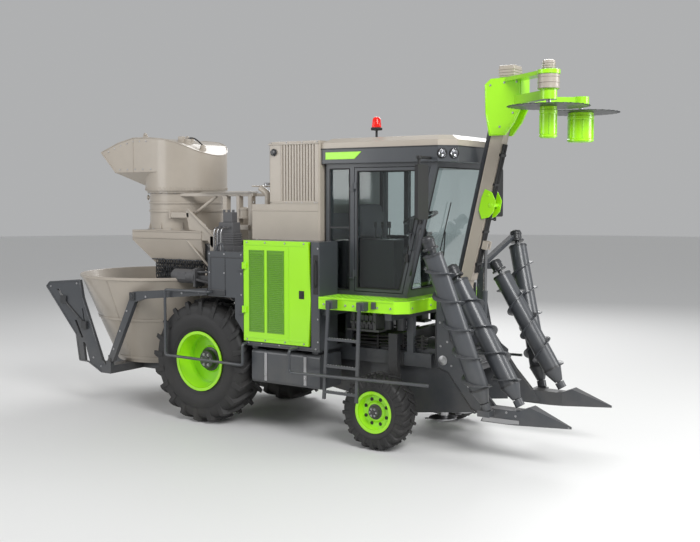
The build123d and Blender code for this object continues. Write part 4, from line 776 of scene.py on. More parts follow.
# ------------------------------------------------------------------------------ wheels
@dataclass
class Wheel(Assembly):
    """Tyre with lugs, hub cap and nuts of one wheel."""

    end: str = "rear"
    side: str = "right"
    lugs: int = 20
    lug_height: float = 0.04
    lug_width: float = 0.062
    lead: float = 0.17
    rim_radius: float = 0.356
    face_inset: float = 0.225
    cap_radius: float = 0.105
    cap_length: float = 0.06
    nuts: int = 10
    nut_circle: float = 0.14
    nut_size: float = 0.014
    holes: int = 0
    hole_circle: float = 0.0

    def __post_init__(self) -> None:
        """Reads the wheel's place from its nodes."""
        low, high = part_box(f"{self.end}_tyre_{self.side}")
        self.sign = SIDES[self.side]
        self.middle = (Vector(low) + Vector(high)) / 2
        self.radius = (high[2] - low[2]) / 2
        self.half = (high[1] - low[1]) / 2
        self.body = f"{self.end}_wheel_{self.side}"
        self.out = Vector((0, self.sign, 0))

    def carcass_radius(self, y: float) -> float:
        """Radius of the carcass at a distance from its middle plane.

        Args:
            y: Distance from the middle plane.

        Returns:
            The radius in metres.
        """
        share = min(1.0, abs(y) / self.half)
        return self.radius - self.lug_height - 0.03 * share ** 3 - 0.05 * max(0.0, share - 0.86) / 0.14

    def carcass(self) -> bpy.types.Object:
        """The tyre's body with its ribbed side walls.

        Returns:
            The turned tyre.
        """
        seat = self.rim_radius - 0.022
        bead = self.half * 0.88 - 0.022
        top = self.carcass_radius(self.half)
        wall = top - seat
        flank = [(seat, bead), (self.rim_radius + 0.006, bead + 0.004),
            (seat + wall * 0.22, self.half - 0.022), (seat + wall * 0.26, self.half - 0.012),
            (seat + wall * 0.31, self.half - 0.012), (seat + wall * 0.34, self.half - 0.008),
            (seat + wall * 0.55, self.half), (seat + wall * 0.74, self.half - 0.001),
            (seat + wall * 0.78, self.half - 0.008), (seat + wall * 0.86, self.half - 0.009),
            (top, self.half - 0.012)]
        crown = [(self.carcass_radius(self.half * s), self.half * s) for s in (0.92, 0.8, 0.6, 0.3)]
        half = flank + crown
        outline = half + [(r, -y) for r, y in reversed(half)]
        return self.bench.lathe(f"{self.body}_tyre_carcass", outline, self.middle, LEFT, 96, 50)

    def lug(self, hand: int) -> bpy.types.Object:
        """One lug, from beside the middle of the tread to the shoulder.

        Args:
            hand: Half of the tread it lies on, 1 or -1.

        Returns:
            The lug at the top of the tyre.
        """
        bench = self.bench
        bench.clear()
        bpy.ops.mesh.primitive_cube_add(size=1)
        lug = bpy.context.object
        bpy.ops.object.mode_set(mode="EDIT")
        bpy.ops.mesh.select_all(action="DESELECT")
        bpy.ops.object.mode_set(mode="OBJECT")
        for edge in lug.data.edges:
            a, b = (lug.data.vertices[i].co for i in edge.vertices)
            edge.select = abs(a.x - b.x) > 0.5
        bpy.ops.object.mode_set(mode="EDIT")
        bpy.ops.mesh.select_mode(type="EDGE")
        bpy.ops.mesh.subdivide(number_cuts=5)
        bpy.ops.object.mode_set(mode="OBJECT")
        for vertex in lug.data.vertices:
            along, across, up = vertex.co.x + 0.5, vertex.co.y, vertex.co.z + 0.5
            y = -0.012 + (self.half - 0.004) * along + 0.012 * along
            low = self.carcass_radius(y) - 0.012 - 0.05 * max(0.0, along - 0.85) / 0.15
            high = self.radius - 0.014 * along ** 3 - 0.012 * max(0.0, along - 0.85) / 0.15
            radius = high if up > 0.5 else low
            width = self.lug_width * (0.72 if up > 0.5 else 1.15) * (0.8 + 0.4 * along)
            angle = (self.lead * along + across * width) / self.radius
            vertex.co = self.middle + Vector((radius * math.sin(angle), hand * y, radius * math.cos(angle)))
        bpy.ops.object.mode_set(mode="EDIT")
        bpy.ops.mesh.select_all(action="SELECT")
        bpy.ops.mesh.normals_make_consistent(inside=False)
        bpy.ops.object.mode_set(mode="OBJECT")
        return bench.bevel(lug, 0.005, 1, 45)

    def turned(self, angle: float) -> Matrix:
        """A turn about the wheel's axis.

        Args:
            angle: Angle in radians.

        Returns:
            The matrix.
        """
        return Matrix.Translation(self.middle) @ Matrix.Rotation(angle, 4,
            "Y") @ Matrix.Translation(-self.middle)

    def tread(self) -> list[bpy.types.Object]:
        """Both staggered rows of lugs.

        Returns:
            One object for each row.
        """
        rows = []
        for row, hand in enumerate((1, -1)):
            step = math.tau / self.lugs
            rows.append(self.bench.strew(f"row_{row}", self.lug(hand), [self.turned(step * (k + row / 2))
                                                                        for k in range(self.lugs)]))
        return rows

    def hub(self) -> None:
        """Dark hub cap, wheel nuts and black discs of painted shade where the disc has holes."""
        face = abs(self.middle.y) + self.half * 0.88 - self.face_inset
        base = Vector((self.middle.x, self.sign * face, self.middle.z))
        cap, length = self.cap_radius + 0.004, self.cap_length + 0.036
        outline = [(0.0, 0.012), (cap * 1.32, 0.012), (cap * 1.32, 0.024), (cap * 1.06, 0.028), (cap, 0.034),
            (cap, length * 0.86), (cap * 0.93, length * 0.97), (cap * 0.8, length), (cap * 0.42, length),
            (cap * 0.4, length + 0.01), (cap * 0.34, length + 0.013), (0.0, length + 0.013)]
        self.fit(self.bench.lathe(f"{self.body}_hub_cap", outline, base, self.out, 48), SLATE_DARK, self.body,
            "slate_grey")
        seats = [(base + self.out * 0.001 + self.around(self.nut_circle, math.tau * k / self.nuts), self.out)
                 for k in range(self.nuts)]
        seats += [(base + self.out * (length + 0.0005) + self.around(cap * 0.62, math.tau * k / 6), self.out)
                  for k in range(6)]
        self.fit(self.bench.bolts(f"{self.body}_nuts", seats, self.nut_size), BOLT, self.body, "bare_steel")
        if self.holes:
            # The holes are drawn as raised black discs: painted shade standing for the dark seen through the
            # disc.
            model = self.bench.lathe("hole",
                [(0.0, 0.0), (0.019, 0.0), (0.019, 0.004), (0.015, 0.005), (0.013, 0.001), (0.0, 0.001)],
                Vector(), UP, 20)
            place = [Matrix.Translation(base + self.around(self.hole_circle,
                math.tau * (k + 0.5) / self.holes)) @ self.out.to_track_quat("Z", "Y").to_matrix().to_4x4()
                for k in range(self.holes)]
            self.fit(self.bench.strew(f"{self.body}_disc_hole_painted_shade", model, place), SEAL, self.body, "slate_grey")

    def around(self, radius: float, angle: float) -> Vector:
        """A point on a circle about the hub, relative to the hub.

        Args:
            radius: Radius of the circle.
            angle: Angle in radians.

        Returns:
            The offset from the hub.
        """
        return Vector((radius * math.cos(angle), 0, radius * math.sin(angle)))

    def build(self) -> None:
        """Makes the tyre in place of its plain node, and the hub's pieces."""
        tyre = self.bench.join(f"{self.body}_tyre", [self.carcass(), *self.tread()])
        self.fit(tyre, RUBBER, self.body, "tyre", [f"{self.end}_tyre_{self.side}"])
        self.hub()


# ------------------------------------------------------------------------------ engine bay
@dataclass
class EngineCover(Assembly):
    """Louvred panels, latch and bolts of one engine side cover."""

    side: str = "right"
    face: float = 1.0
    panels: tuple[tuple[float, float], ...] = ((0.77, 0.99), (1.03, 1.27))
    bottom: float = 1.15
    top: float = 2.08
    pitch: float = 0.0215

    def louvres(self, x0: float, x1: float) -> bpy.types.Object:
        """A framed panel of slanted slats.

        Args:
            x0: Rear edge of the panel.
            x1: Front edge of the panel.

        Returns:
            The panel.
        """
        s = SIDES[self.side]
        bench = self.bench
        # Back plate, frame and slats all take the darkened lime of painted shade, standing for the shaded
        # grille.
        back = bench.block("back", at(x0, s * (self.face - 0.004), self.bottom),
            at(x1, s * (self.face - 0.0015), self.top), 0)
        frame_bars = bench.blocks(
            ((x0, s * (self.face - 0.003), self.bottom), (x0 + 0.012, s * (self.face + 0.005), self.top)),
            ((x1 - 0.012, s * (self.face - 0.003), self.bottom), (x1, s * (self.face + 0.005), self.top)),
            ((x0, s * (self.face - 0.003), self.bottom), (x1, s * (self.face + 0.005), self.bottom + 0.012)),
            ((x0, s * (self.face - 0.003), self.top - 0.012), (x1, s * (self.face + 0.005), self.top)))
        slat = bench.block("slat", (-(x1 - x0 - 0.03) / 2, -0.0035, -0.0065),
            ((x1 - x0 - 0.03) / 2, 0.0035, 0.0065), 0.002, 1)
        count = int((self.top - self.bottom - 0.04) / self.pitch)
        places = [Matrix.Translation(at((x0 + x1) / 2, s * (self.face + 0.0005),
            self.bottom + 0.028 + k * self.pitch)) @ Matrix.Rotation(s * math.radians(28), 4, "X")
            for k in range(count)]
        return bench.join(f"cover_{self.side}_louvres",
            [back, *frame_bars, bench.strew("slats", slat, places)])

    def build(self) -> None:
        """Makes the louvres, the latch with its plate, the pressed border and the bolts."""
        s, bench, body = SIDES[self.side], self.bench, f"cover_{self.side}"
        for k, (x0, x1) in enumerate(self.panels):
            panel = self.louvres(x0, x1)
            panel.name = f"cover_{self.side}_louvres_{k + 1}"
            self.fit(panel, LIME_LOUVRE_SHADE, body, "lime_green")
        plate = bench.block("plate", at(1.475, s * (self.face - 0.001), 1.56),
            at(1.545, s * (self.face + 0.004), 1.65), 0.004)
        cup = bench.block("cup", at(1.49, s * (self.face + 0.003), 1.585),
            at(1.53, s * (self.face + 0.01), 1.63), 0.003)
        key = bench.drum("key", at(1.51, s * self.face, 1.573), at(1.51, s * (self.face + 0.009), 1.573),
            0.007, 16, 0.001)
        self.fit(bench.join(f"cover_{self.side}_latch", [plate, cup, key]), PLASTIC, body, "black_plastic")
        rail = []
        for z in (1.085, 2.14):
            rail.append(bench.block("fold", at(0.715, s * (self.face - 0.001), z - 0.006),
                at(1.56, s * (self.face + 0.004), z + 0.006), 0.003))
        rail.append(bench.block("fold", at(1.33, s * (self.face - 0.001), 1.1),
            at(1.338, s * (self.face + 0.003), 2.12), 0.002))
        self.fit(bench.join(f"cover_{self.side}_folds", rail), LIME, body, "lime_green")
        seats = [(at(x, s * self.face, z), Vector((0, s, 0))) for z in (1.062, 2.166)
            for x in (0.74, 1.0, 1.28, 1.54)]
        self.fit(bench.bolts(f"cover_{self.side}_bolts", seats, 0.008), BOLT, body, "bare_steel")


@dataclass
class BodyPanels(Assembly):
    """Seams, bolts, handles, valve stack and pipes on the fixed body."""

    face: float = 1.0

    def side_details(self, name: str) -> None:
        """Pieces on one side's dark panels.

        Args:
            name: Name of the side.
        """
        s, bench = SIDES[name], self.bench
        folds = bench.blocks(
            ((0.19, s * (self.face - 0.002), 1.975), (0.66, s * (self.face + 0.003), 1.985), 0.002),
            ((0.19, s * (self.face - 0.002), 1.6), (0.2, s * (self.face + 0.003), 1.98), 0.002),
            ((0.41, s * (self.face - 0.002), 1.6), (0.418, s * (self.face + 0.004), 1.98), 0.002),
            ((0.8, s * (self.face - 0.002), 1.004), (1.72, s * (self.face + 0.004), 1.012), 0.002))
        self.fit(bench.join(f"side_panel_{name}_folds", folds), SLATE_DARK, "chassis", "slate_grey")
        pocket = bench.block("pocket", at(1.668, s * (self.face - 0.002), 1.62),
            at(1.732, s * (self.face + 0.004), 2.05), 0.004)
        grip = bench.tube("grip", [at(1.7, y, z)
            for y, z in ((s * self.face, 1.7), (s * (self.face + 0.032), 1.71),
            (s * (self.face + 0.034), 1.8), (s * (self.face + 0.034), 1.89), (s * (self.face + 0.032), 1.98),
            (s * self.face, 1.99))], 0.009)
        self.fit(bench.join(f"side_panel_{name}_grip", [pocket, grip]), PLASTIC, "chassis", "black_plastic")
        seats = [(at(x, s * self.face, z), Vector((0, s, 0))) for x in (0.175, 0.4, 0.655)
            for z in (1.56, 1.8, 2.02)]
        seats += [(at(x, s * self.face, 1.02), Vector((0, s, 0))) for x in (0.76, 0.95, 1.2, 1.45, 1.7)]
        seats += [(at(1.728, s * self.face, z), Vector((0, s, 0))) for z in (1.1, 1.35, 2.12)]
        self.fit(bench.bolts(f"side_panel_{name}_bolts", seats, 0.008), BOLT, "chassis", "bare_steel")
        eye = bench.tube("eye", [at(x, s * 0.93, z)
            for x, z in ((0.23, 2.05), (0.235, 2.12), (0.28, 2.14), (0.325, 2.12), (0.33, 2.05))], 0.011)
        pads = [bench.block("pad", at(x - 0.02, s * 0.905, 2.049), at(x + 0.02, s * 0.955, 2.058), 0.003)
            for x in (0.23, 0.33)]
        self.fit(bench.join(f"lifting_eye_{name}", [eye, *pads]), SLATE, "chassis", "slate_grey")

    def valve_stack(self) -> None:
        """The stepped hydraulic valve stack on the right-hand box, with its steel pipes."""
        bench = self.bench
        steps = [((0.06, -0.79, 2.046), (0.37, -0.61, 2.1)), ((0.08, -0.78, 2.1), (0.35, -0.62, 2.26)),
                 ((0.12, -0.77, 2.26), (0.34, -0.63, 2.38)), ((0.17, -0.75, 2.38), (0.31, -0.65, 2.5))]
        blocks = [bench.block("section", at(*low), at(*high), 0.006) for low, high in steps]
        for k in range(5):
            z = 2.125 + 0.027 * k
            blocks.append(bench.block("fin", at(0.074, -0.786, z), at(0.356, -0.614, z + 0.01), 0.002, 1))
        for x in (0.13, 0.2, 0.27):
            blocks += bench.drums(((x + 0.02, -0.78, 2.32), (x + 0.02, -0.8, 2.32), 0.018, 18),
                ((x + 0.02, -0.7, 2.49), (x + 0.02, -0.7, 2.53), 0.016, 18))
        self.fit(bench.join("valve_stack", blocks), CAST, "chassis", "slate_grey")
        pipes = []
        for k in range(3):
            x = 0.15 + 0.07 * k
            pipes.append(bench.tube("pipe",
                [at(x, y, z) for y, z in ((-0.79, 2.32), (-0.86 - 0.02 * k, 2.32), (-0.885 - 0.02 * k, 2.28),
                (-0.885 - 0.02 * k, 2.16), (-0.885 - 0.02 * k, 2.052))], 0.009))
        self.fit(bench.join("valve_pipes", pipes), STEEL, "chassis", "bare_steel")

    def tank_details(self) -> None:
        """Straps, buckles and caps of both tanks."""
        bench = self.bench
        for name, node in (("right", "fuel_tank"), ("left", "hydraulic_tank")):
            s = SIDES[name]
            low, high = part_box(node)
            outer = max(abs(low[1]), abs(high[1]))
            straps = []
            for x in (low[0] + 0.2, high[0] - 0.2):
                straps.append(bench.block("strap", (x - 0.02, s * (outer - 0.004), low[2] + 0.03),
                    (x + 0.02, s * (outer + 0.003), high[2] - 0.03), 0.002))
                straps.append(bench.drum("buckle", (x, s * (outer + 0.001), low[2] + 0.1),
                    (x, s * (outer + 0.014), low[2] + 0.1), 0.012, 16))
            self.fit(bench.join(f"{node}_straps", straps), STEEL, "chassis", "bare_steel")
            cap = bench.lathe(f"{node}_cap",
                [(0, 0), (0.05, 0), (0.05, 0.012), (0.042, 0.016), (0.042, 0.045), (0.036, 0.052),
                (0, 0.052)], Vector((high[0] - 0.1, s * (outer - 0.15), high[2] - 0.002)), UP, 32)
            self.fit(cap, PLASTIC, "chassis", "black_plastic")

    def cooler_details(self) -> None:
        """Lid flanges, side frame, knob and top screen of the two stacked boxes."""
        bench = self.bench
        low, high = (Vector(v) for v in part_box("radiator_box"))
        air_low, air_high = (Vector(v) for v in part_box("air_box"))
        half = high.y
        pieces = [bench.block("lid", (low.x - 0.008, -half - 0.008, high.z - 0.035),
            (high.x - 0.001, half + 0.008, high.z - 0.02), 0.003)]
        roof = [bench.block("bar", (x, -half + 0.06, high.z - 0.004),
            (x + 0.018, half - 0.06, high.z + 0.006), 0.002, 1)
            for x in [low.x + 0.08 + 0.034 * k for k in range(17)]]
        pieces += roof
        for s in (-1, 1):
            pieces.append(bench.block("rail", (low.x + 0.012, s * (half - 0.002), low.z + 0.015),
                (high.x - 0.012, s * (half + 0.005), low.z + 0.03), 0.002))
            pieces.append(bench.block("post", (low.x + 0.17, s * (half - 0.002), low.z + 0.03),
                (low.x + 0.178, s * (half + 0.004), high.z - 0.04), 0.002))
        self.fit(bench.join("cooler_lid_and_screen", pieces), GREIGE, "chassis", "body_grey")
        flange = [bench.block("flange", (air_low.x + 0.004, s * (half - 0.002), air_high.z - 0.3),
            (air_high.x - 0.01, s * (half + 0.004), air_high.z - 0.286), 0.002) for s in (-1, 1)]
        flange += [bench.block("flange", (air_low.x - 0.006, -half + 0.02, air_high.z - 0.02),
            (air_low.x + 0.004, half - 0.02, air_high.z - 0.004), 0.003)]
        self.fit(bench.join("air_box_flanges", flange), GREIGE, "chassis", "body_grey")
        knob = bench.lathe("cooler_knob",
            [(0, 0), (0.045, 0), (0.045, 0.01), (0.034, 0.014), (0.034, 0.034), (0.028, 0.04), (0, 0.04)],
            Vector((low.x + 0.075, -half, high.z - 0.12)), Vector((0, -1, 0)), 6, 20)
        self.fit(knob, SLATE_DARK, "chassis", "slate_grey")
        seats = [(Vector((x, s * half, z)), Vector((0, s, 0))) for s in (-1, 1)
            for z in (low.z + 0.022, high.z - 0.012)
            for x in (low.x + 0.03, low.x + 0.25, low.x + 0.47, low.x + 0.68)]
        seats += [(Vector((x, s * half, air_high.z - 0.2)), Vector((0, s, 0))) for s in (-1, 1)
                  for x in (air_low.x + 0.04, air_low.x + 0.3, air_low.x + 0.6, air_low.x + 0.92)]
        self.fit(bench.bolts("box_bolts", seats, 0.007), BOLT, "chassis", "bare_steel")
        pipe_end = bench.lathe("exhaust_collar",
            [(0.038, 0.0), (0.047, 0.0), (0.047, 0.02), (0.041, 0.028), (0.038, 0.028)],
            at(0.72, -0.58, air_high.z), UP, 32)
        self.fit(pipe_end, STEEL, "chassis", "bare_steel")

    def build(self) -> None:
        """Makes the details of both sides, the valve stack, the tanks' and the boxes' fittings."""
        for name in SIDES:
            self.side_details(name)
        self.valve_stack()
        self.tank_details()
        self.cooler_details()


# ------------------------------------------------------------------------------ cab
@dataclass
class Cab(Assembly):
    """Roof band, lamps, beacon, seals, wiper, seat and fittings of the cab."""

    half: float = 0.62
    floor_front: float = 2.62
    roof_front: float = 2.98
    floor_z: float = 1.6
    top_z: float = 3.05
    roof_half: float = 0.66
    roof_rear: float = 1.545
    roof_side_front: float = 3.01
    clip: float = 0.155

    def front(self, z: float) -> float:
        """Station of the leaning front at a height.

        Args:
            z: Height.

        Returns:
            The station forward of the rear axle.
        """
        share = (self.roof_front - self.floor_front) * (z - self.floor_z) / (self.top_z - self.floor_z)
        return self.floor_front + share

    def roof(self) -> None:
        """Dark visor band under the greige roof, its drip lip and a blank lime badge."""
        bench = self.bench

        def ring(grow: float, z: float) -> list[Vector]:
            half, nose = self.roof_half + grow, self.roof_side_front + self.clip + grow
            return [at(x, y, z) for x, y in ((self.roof_rear - grow, -half), (self.roof_side_front, -half),
                (nose, -half + self.clip), (nose, half - self.clip), (self.roof_side_front, half),
                (self.roof_rear - grow, half))]

        band = bench.plate("roof_band", ring(0.004, 3.047), Vector((0, 0, 0.165)), 0.006)
        self.fit(band, SLATE, "chassis", "slate_grey")
        lip = bench.plate("roof_drip_lip", ring(0.01, 3.206), Vector((0, 0, 0.012)), 0.004)
        self.fit(lip, SLATE_DARK, "chassis", "slate_grey")
        y = -self.roof_half - 0.004
        badge = bench.plate("roof_badge",
            [at(1.6, y, 3.095), at(1.985, y, 3.095), at(2.075, y, 3.175), at(1.6, y, 3.175)],
            Vector((0, -0.005, 0)), 0.002)
        self.fit(badge, LIME, "chassis", "lime_green")

    def lamps(self) -> None:
        """Twin round work lamps at each clipped corner and the red beacon."""
        bench = self.bench
        root = math.sqrt(0.5)
        bezels, lenses, bowls = [], [], []
        for s in (-1, 1):
            out = Vector((root, s * root, 0))
            for k in (-1, 1):
                middle = at(self.roof_side_front + self.clip / 2 + k * 0.046,
                    s * (self.roof_half - self.clip / 2 - k * 0.046), 3.135)
                bezels.append(bench.lathe("bezel",
                    [(0.043, -0.004), (0.053, -0.004), (0.053, 0.018), (0.049, 0.026), (0.044, 0.026),
                    (0.043, 0.02)], middle, out, 40))
                bowls.append(bench.lathe("bowl",
                    [(0.0, 0.002), (0.044, 0.002), (0.044, 0.019), (0.036, 0.01), (0.016, 0.005),
                    (0.012, 0.012), (0.0, 0.013)], middle, out, 40))
                lenses.append(bench.lathe("lens",
                    [(0.0, 0.021), (0.0435, 0.019), (0.0435, 0.0225), (0.024, 0.0265), (0.0, 0.028)], middle,
                    out, 40))
        self.fit(bench.join("lamp_bezels", bezels), PLASTIC, "chassis", "lamp", ["roof_lamps"])
        self.fit(bench.join("lamp_bowls", bowls), BOWL, "chassis", "lamp")
        self.fit(bench.join("lamp_lenses", lenses), LENS, "chassis", "lamp")
        foot = at(2.06, -0.33, 3.33)
        stem = bench.lathe("beacon_stem",
            [(0, -0.004), (0.035, -0.004), (0.035, 0.008), (0.013, 0.014), (0.013, 0.088), (0.06, 0.092),
            (0.064, 0.1), (0.064, 0.116), (0.056, 0.124), (0, 0.124)], foot, UP, 40)
        self.fit(stem, PLASTIC, "chassis", "black_plastic")
        dome = bench.lathe("beacon_dome",
            [(0, 0.124), (0.052, 0.124), (0.053, 0.13), (0.05, 0.165), (0.049, 0.17), (0.048, 0.175),
            (0.046, 0.205), (0.041, 0.222), (0.03, 0.235), (0.014, 0.24), (0, 0.241)], foot, UP, 40)
        self.fit(dome, BEACON, "chassis", "lamp")

    def seals(self) -> None:
        """Black seals round the panes and the door, the wiper and the handles."""
        bench = self.bench

        def gasket(name: str, corners: Sequence[Vector], body: str) -> None:
            loop = [*corners, corners[0]]
            bars = [bench.drum("bar", a, b, 0.007, 10, 0) for a, b in zip(loop, loop[1:])]
            self.fit(bench.join(name, bars), SEAL, body, "black_plastic")

        for s in (-1, 1):
            y = s * (self.half + 0.001)
            gasket(f"rear_pane_seal_{'right' if s < 0 else 'left'}",
                   [at(1.63, y, 1.655), at(1.89, y, 1.655), at(1.89, y, 2.99), at(1.63, y, 2.99)], "chassis")
        inset = 0.105
        y = -self.half - 0.001
        gasket("door_pane_seal", [at(x, y, z)
            for x, z in ((1.996, 1.686), (self.front(1.686) - inset - 0.008, 1.686),
            (self.front(2.959) - inset - 0.008, 2.959), (1.996, 2.959))], "door")
        y = self.half + 0.001
        gasket("left_pane_seal", [at(x, y, z)
            for x, z in ((1.95, 1.64), (self.front(1.64) - 0.062, 1.64), (self.front(3.005) - 0.062, 3.005),
            (1.95, 3.005))], "chassis")
        z0, z1 = 1.69, 2.99
        gasket("windscreen_seal", [at(x, y, z)
            for x, y, z in ((self.front(z0) + 0.002, -0.56, z0), (self.front(z0) + 0.002, 0.56, z0),
            (self.front(z1) + 0.002, 0.56, z1), (self.front(z1) + 0.002, -0.56, z1))], "chassis")
        arm = bench.tube("arm", [at(self.front(1.7) + 0.035, 0.05, 1.7),
            at(self.front(1.95) + 0.022, 0.0, 1.95), at(self.front(2.3) + 0.012, -0.1, 2.3)], 0.007, False)
        blade = bench.block("blade", at(self.front(2.05) - 0.002, -0.108, 2.05),
            at(self.front(2.05) + 0.012, -0.092, 2.06), 0.001)
        bar = bench.tube("bar", [at(self.front(1.98) + 0.002, -0.1, 1.98),
            at(self.front(2.62) + 0.002, -0.1, 2.62)], 0.006, False)
        self.fit(bench.join("wiper", [arm, blade, bar]), SEAL, "chassis", "black_plastic")
        rail = bench.tube("grab_rail", [at(x, y, z)
            for x, y, z in ((self.front(1.85) - 0.01, -0.632, 1.85), (self.front(1.85) + 0.03, -0.685, 1.88),
            (self.front(2.05) + 0.03, -0.69, 2.1), (self.front(2.25) + 0.03, -0.685, 2.32),
            (self.front(2.35) - 0.01, -0.632, 2.35))], 0.011)
        self.fit(rail, SLATE_DARK, "chassis", "slate_grey")
        lock = bench.block("lock", at(self.front(2.02) - 0.115, -self.half - 0.022, 1.985),
            at(self.front(2.02) - 0.075, -self.half + 0.001, 2.07), 0.006)
        self.fit(bench.join("door_lock", [lock]), PLASTIC, "door", "black_plastic")
        bar_z = bench.block("rear_pane_bar", at(1.63, -self.half - 0.004, 2.33),
            at(1.89, -self.half + 0.012, 2.352), 0.003)
        self.fit(bar_z, SLATE_DARK, "chassis", "slate_grey")

    def mirror_faces(self) -> None:
        """Silvered faces and clamps of the mirrors."""
        bench = self.bench
        faces, clamps = [], []
        for s in (-1, 1):
            faces.append(bench.block("face", at(2.937, s * 0.812, 2.465), at(2.9405, s * 1.008, 2.995),
                0.001))
            for z in (2.55, 2.73, 2.91):
                clamps.append(bench.drum("clamp", at(2.928, s * 0.91, z - 0.02),
                    at(2.928, s * 0.91, z + 0.02), 0.024, 20, 0.002))
            clamps.append(bench.drum("joint", at(2.928, s * 0.91, 3.066), at(2.928, s * 0.91, 3.102), 0.027,
                20, 0.003))
        self.fit(bench.join("mirror_faces", faces), MIRROR, "chassis", "glass")
        self.fit(bench.join("mirror_clamps", clamps), PLASTIC, "chassis", "black_plastic")

    def cushion(self, name: str, low: Vector, high: Vector, lean: float) -> bpy.types.Object:
        """A crowned seat cushion with a sewn channel.

        Args:
            name: Name of the piece.
            low: Lowest corner.
            high: Highest corner.
            lean: Backward lean in metres over its height.

        Returns:
            The cushion.
        """
        bench = self.bench
        pad = bench.block(name, low, high, 0.0)
        size = high - low
        bpy.ops.object.mode_set(mode="EDIT")
        bpy.ops.mesh.select_all(action="SELECT")
        bpy.ops.mesh.subdivide(number_cuts=9)
        bpy.ops.object.mode_set(mode="OBJECT")
        middle = (low + high) / 2
        thin = min(range(3), key=lambda axis: size[axis])
        flat = [axis for axis in range(3) if axis != thin]
        for vertex in pad.data.vertices:
            u, v = (2 * (vertex.co[axis] - middle[axis]) / size[axis] for axis in flat)
            w = 2 * (vertex.co[thin] - middle[thin]) / size[thin]
            crown = (1 - u ** 4) * (1 - v ** 4)
            seam = 0.16 * math.exp(-((abs(u) - 0.55) / 0.07) ** 2)
            vertex.co[thin] = middle[thin] + w * size[thin] / 2 * (0.62 + 0.38 * crown - seam * crown)
            pull = 1 - 0.05 * w * w - 0.03 * (u * u * v * v)
            for axis in flat:
                vertex.co[axis] = middle[axis] + (vertex.co[axis] - middle[axis]) * pull
            vertex.co.x -= lean * (vertex.co.z - low.z) / size.z
        bench.pick([pad])
        soft = pad.modifiers.new("soft", "SUBSURF")
        soft.levels = soft.render_levels = 1
        bpy.ops.object.modifier_apply(modifier=soft.name)
        return bench.smooth(pad, 60)

    def seat(self) -> None:
        """Driver's seat in place of its plain node."""
        bench = self.bench
        low, high = (Vector(v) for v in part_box("driver_seat"))
        mid_x = at(1.99, 0, 0).x
        base = low.z + 0.33
        box = bench.block("plinth", (mid_x - 0.175, -0.195, low.z), (mid_x + 0.175, 0.195, base - 0.06),
            0.012)
        folds = [bench.block("fold", (mid_x - 0.165 + 0.006 * (k % 2), -0.185 + 0.006 * (k % 2),
            base - 0.28 + 0.035 * k), (mid_x + 0.165 - 0.006 * (k % 2), 0.185 - 0.006 * (k % 2),
            base - 0.245 + 0.035 * k), 0.01) for k in range(6)]
        pan = bench.block("pan", (mid_x - 0.22, -0.225, base - 0.05), (mid_x + 0.23, 0.225, base - 0.002),
            0.01)
        arm = [bench.block("armrest", (mid_x - 0.16, s * 0.262, base + 0.215),
            (mid_x + 0.14, s * 0.305, base + 0.255), 0.012) for s in (-1, 1)]
        arm += [bench.tube("bracket", [Vector((mid_x - 0.2, s * 0.235, base + 0.1)),
            Vector((mid_x - 0.17, s * 0.28, base + 0.2)), Vector((mid_x - 0.12, s * 0.283, base + 0.22))],
            0.011) for s in (-1, 1)]
        self.fit(bench.join("seat_plinth", [box, *folds, pan, *arm]), PLASTIC, "chassis", "black_plastic",
            ["driver_seat"])
        bottom = self.cushion("seat_cushion", Vector((mid_x - 0.22, -0.245, base)),
            Vector((mid_x + 0.255, 0.245, base + 0.128)), 0.0)
        self.fit(bottom, CLOTH, "chassis", "seat_cloth")
        back = self.cushion("seat_back", Vector((mid_x - 0.235, -0.235, base + 0.1)),
            Vector((mid_x - 0.125, 0.235, high.z)), 0.055)
        self.fit(back, CLOTH, "chassis", "seat_cloth")

    def cockpit(self) -> None:
        """Levers, screen, plate and stalk on the console and the column."""
        bench = self.bench
        top = self.floor_z + 0.05 + 0.56
        levers = [bench.tube("lever", [at(2.1 + 0.09 * k, -0.43, top), at(2.12 + 0.09 * k, -0.43, top + 0.09),
            at(2.11 + 0.09 * k, -0.425, top + 0.15)], 0.008) for k in range(3)]
        grips = [bench.drum("grip", at(2.11 + 0.09 * k, -0.425, top + 0.13),
            at(2.105 + 0.09 * k, -0.425, top + 0.2), 0.018, 18, 0.008) for k in range(3)]
        plate = bench.block("plate", at(1.82, -0.52, top - 0.002), at(2.39, -0.34, top + 0.006), 0.004)
        screen = bench.block("screen", at(2.56, -0.5, 2.3), at(2.585, -0.3, 2.46), 0.008)
        stalk = bench.tube("stalk", [at(2.575, -0.47, 2.32), at(2.62, -0.54, 2.2), at(2.6, -0.56, 1.95)],
            0.012)
        self.fit(bench.join("cockpit_fittings", [*levers, *grips, plate, screen, stalk]), PLASTIC, "chassis",
            "black_plastic")

    def build(self) -> None:
        """Makes the roof, lamps, seals, mirrors, seat and cockpit."""
        self.roof()
        self.lamps()
        self.seals()
        self.mirror_faces()
        self.seat()
        self.cockpit()


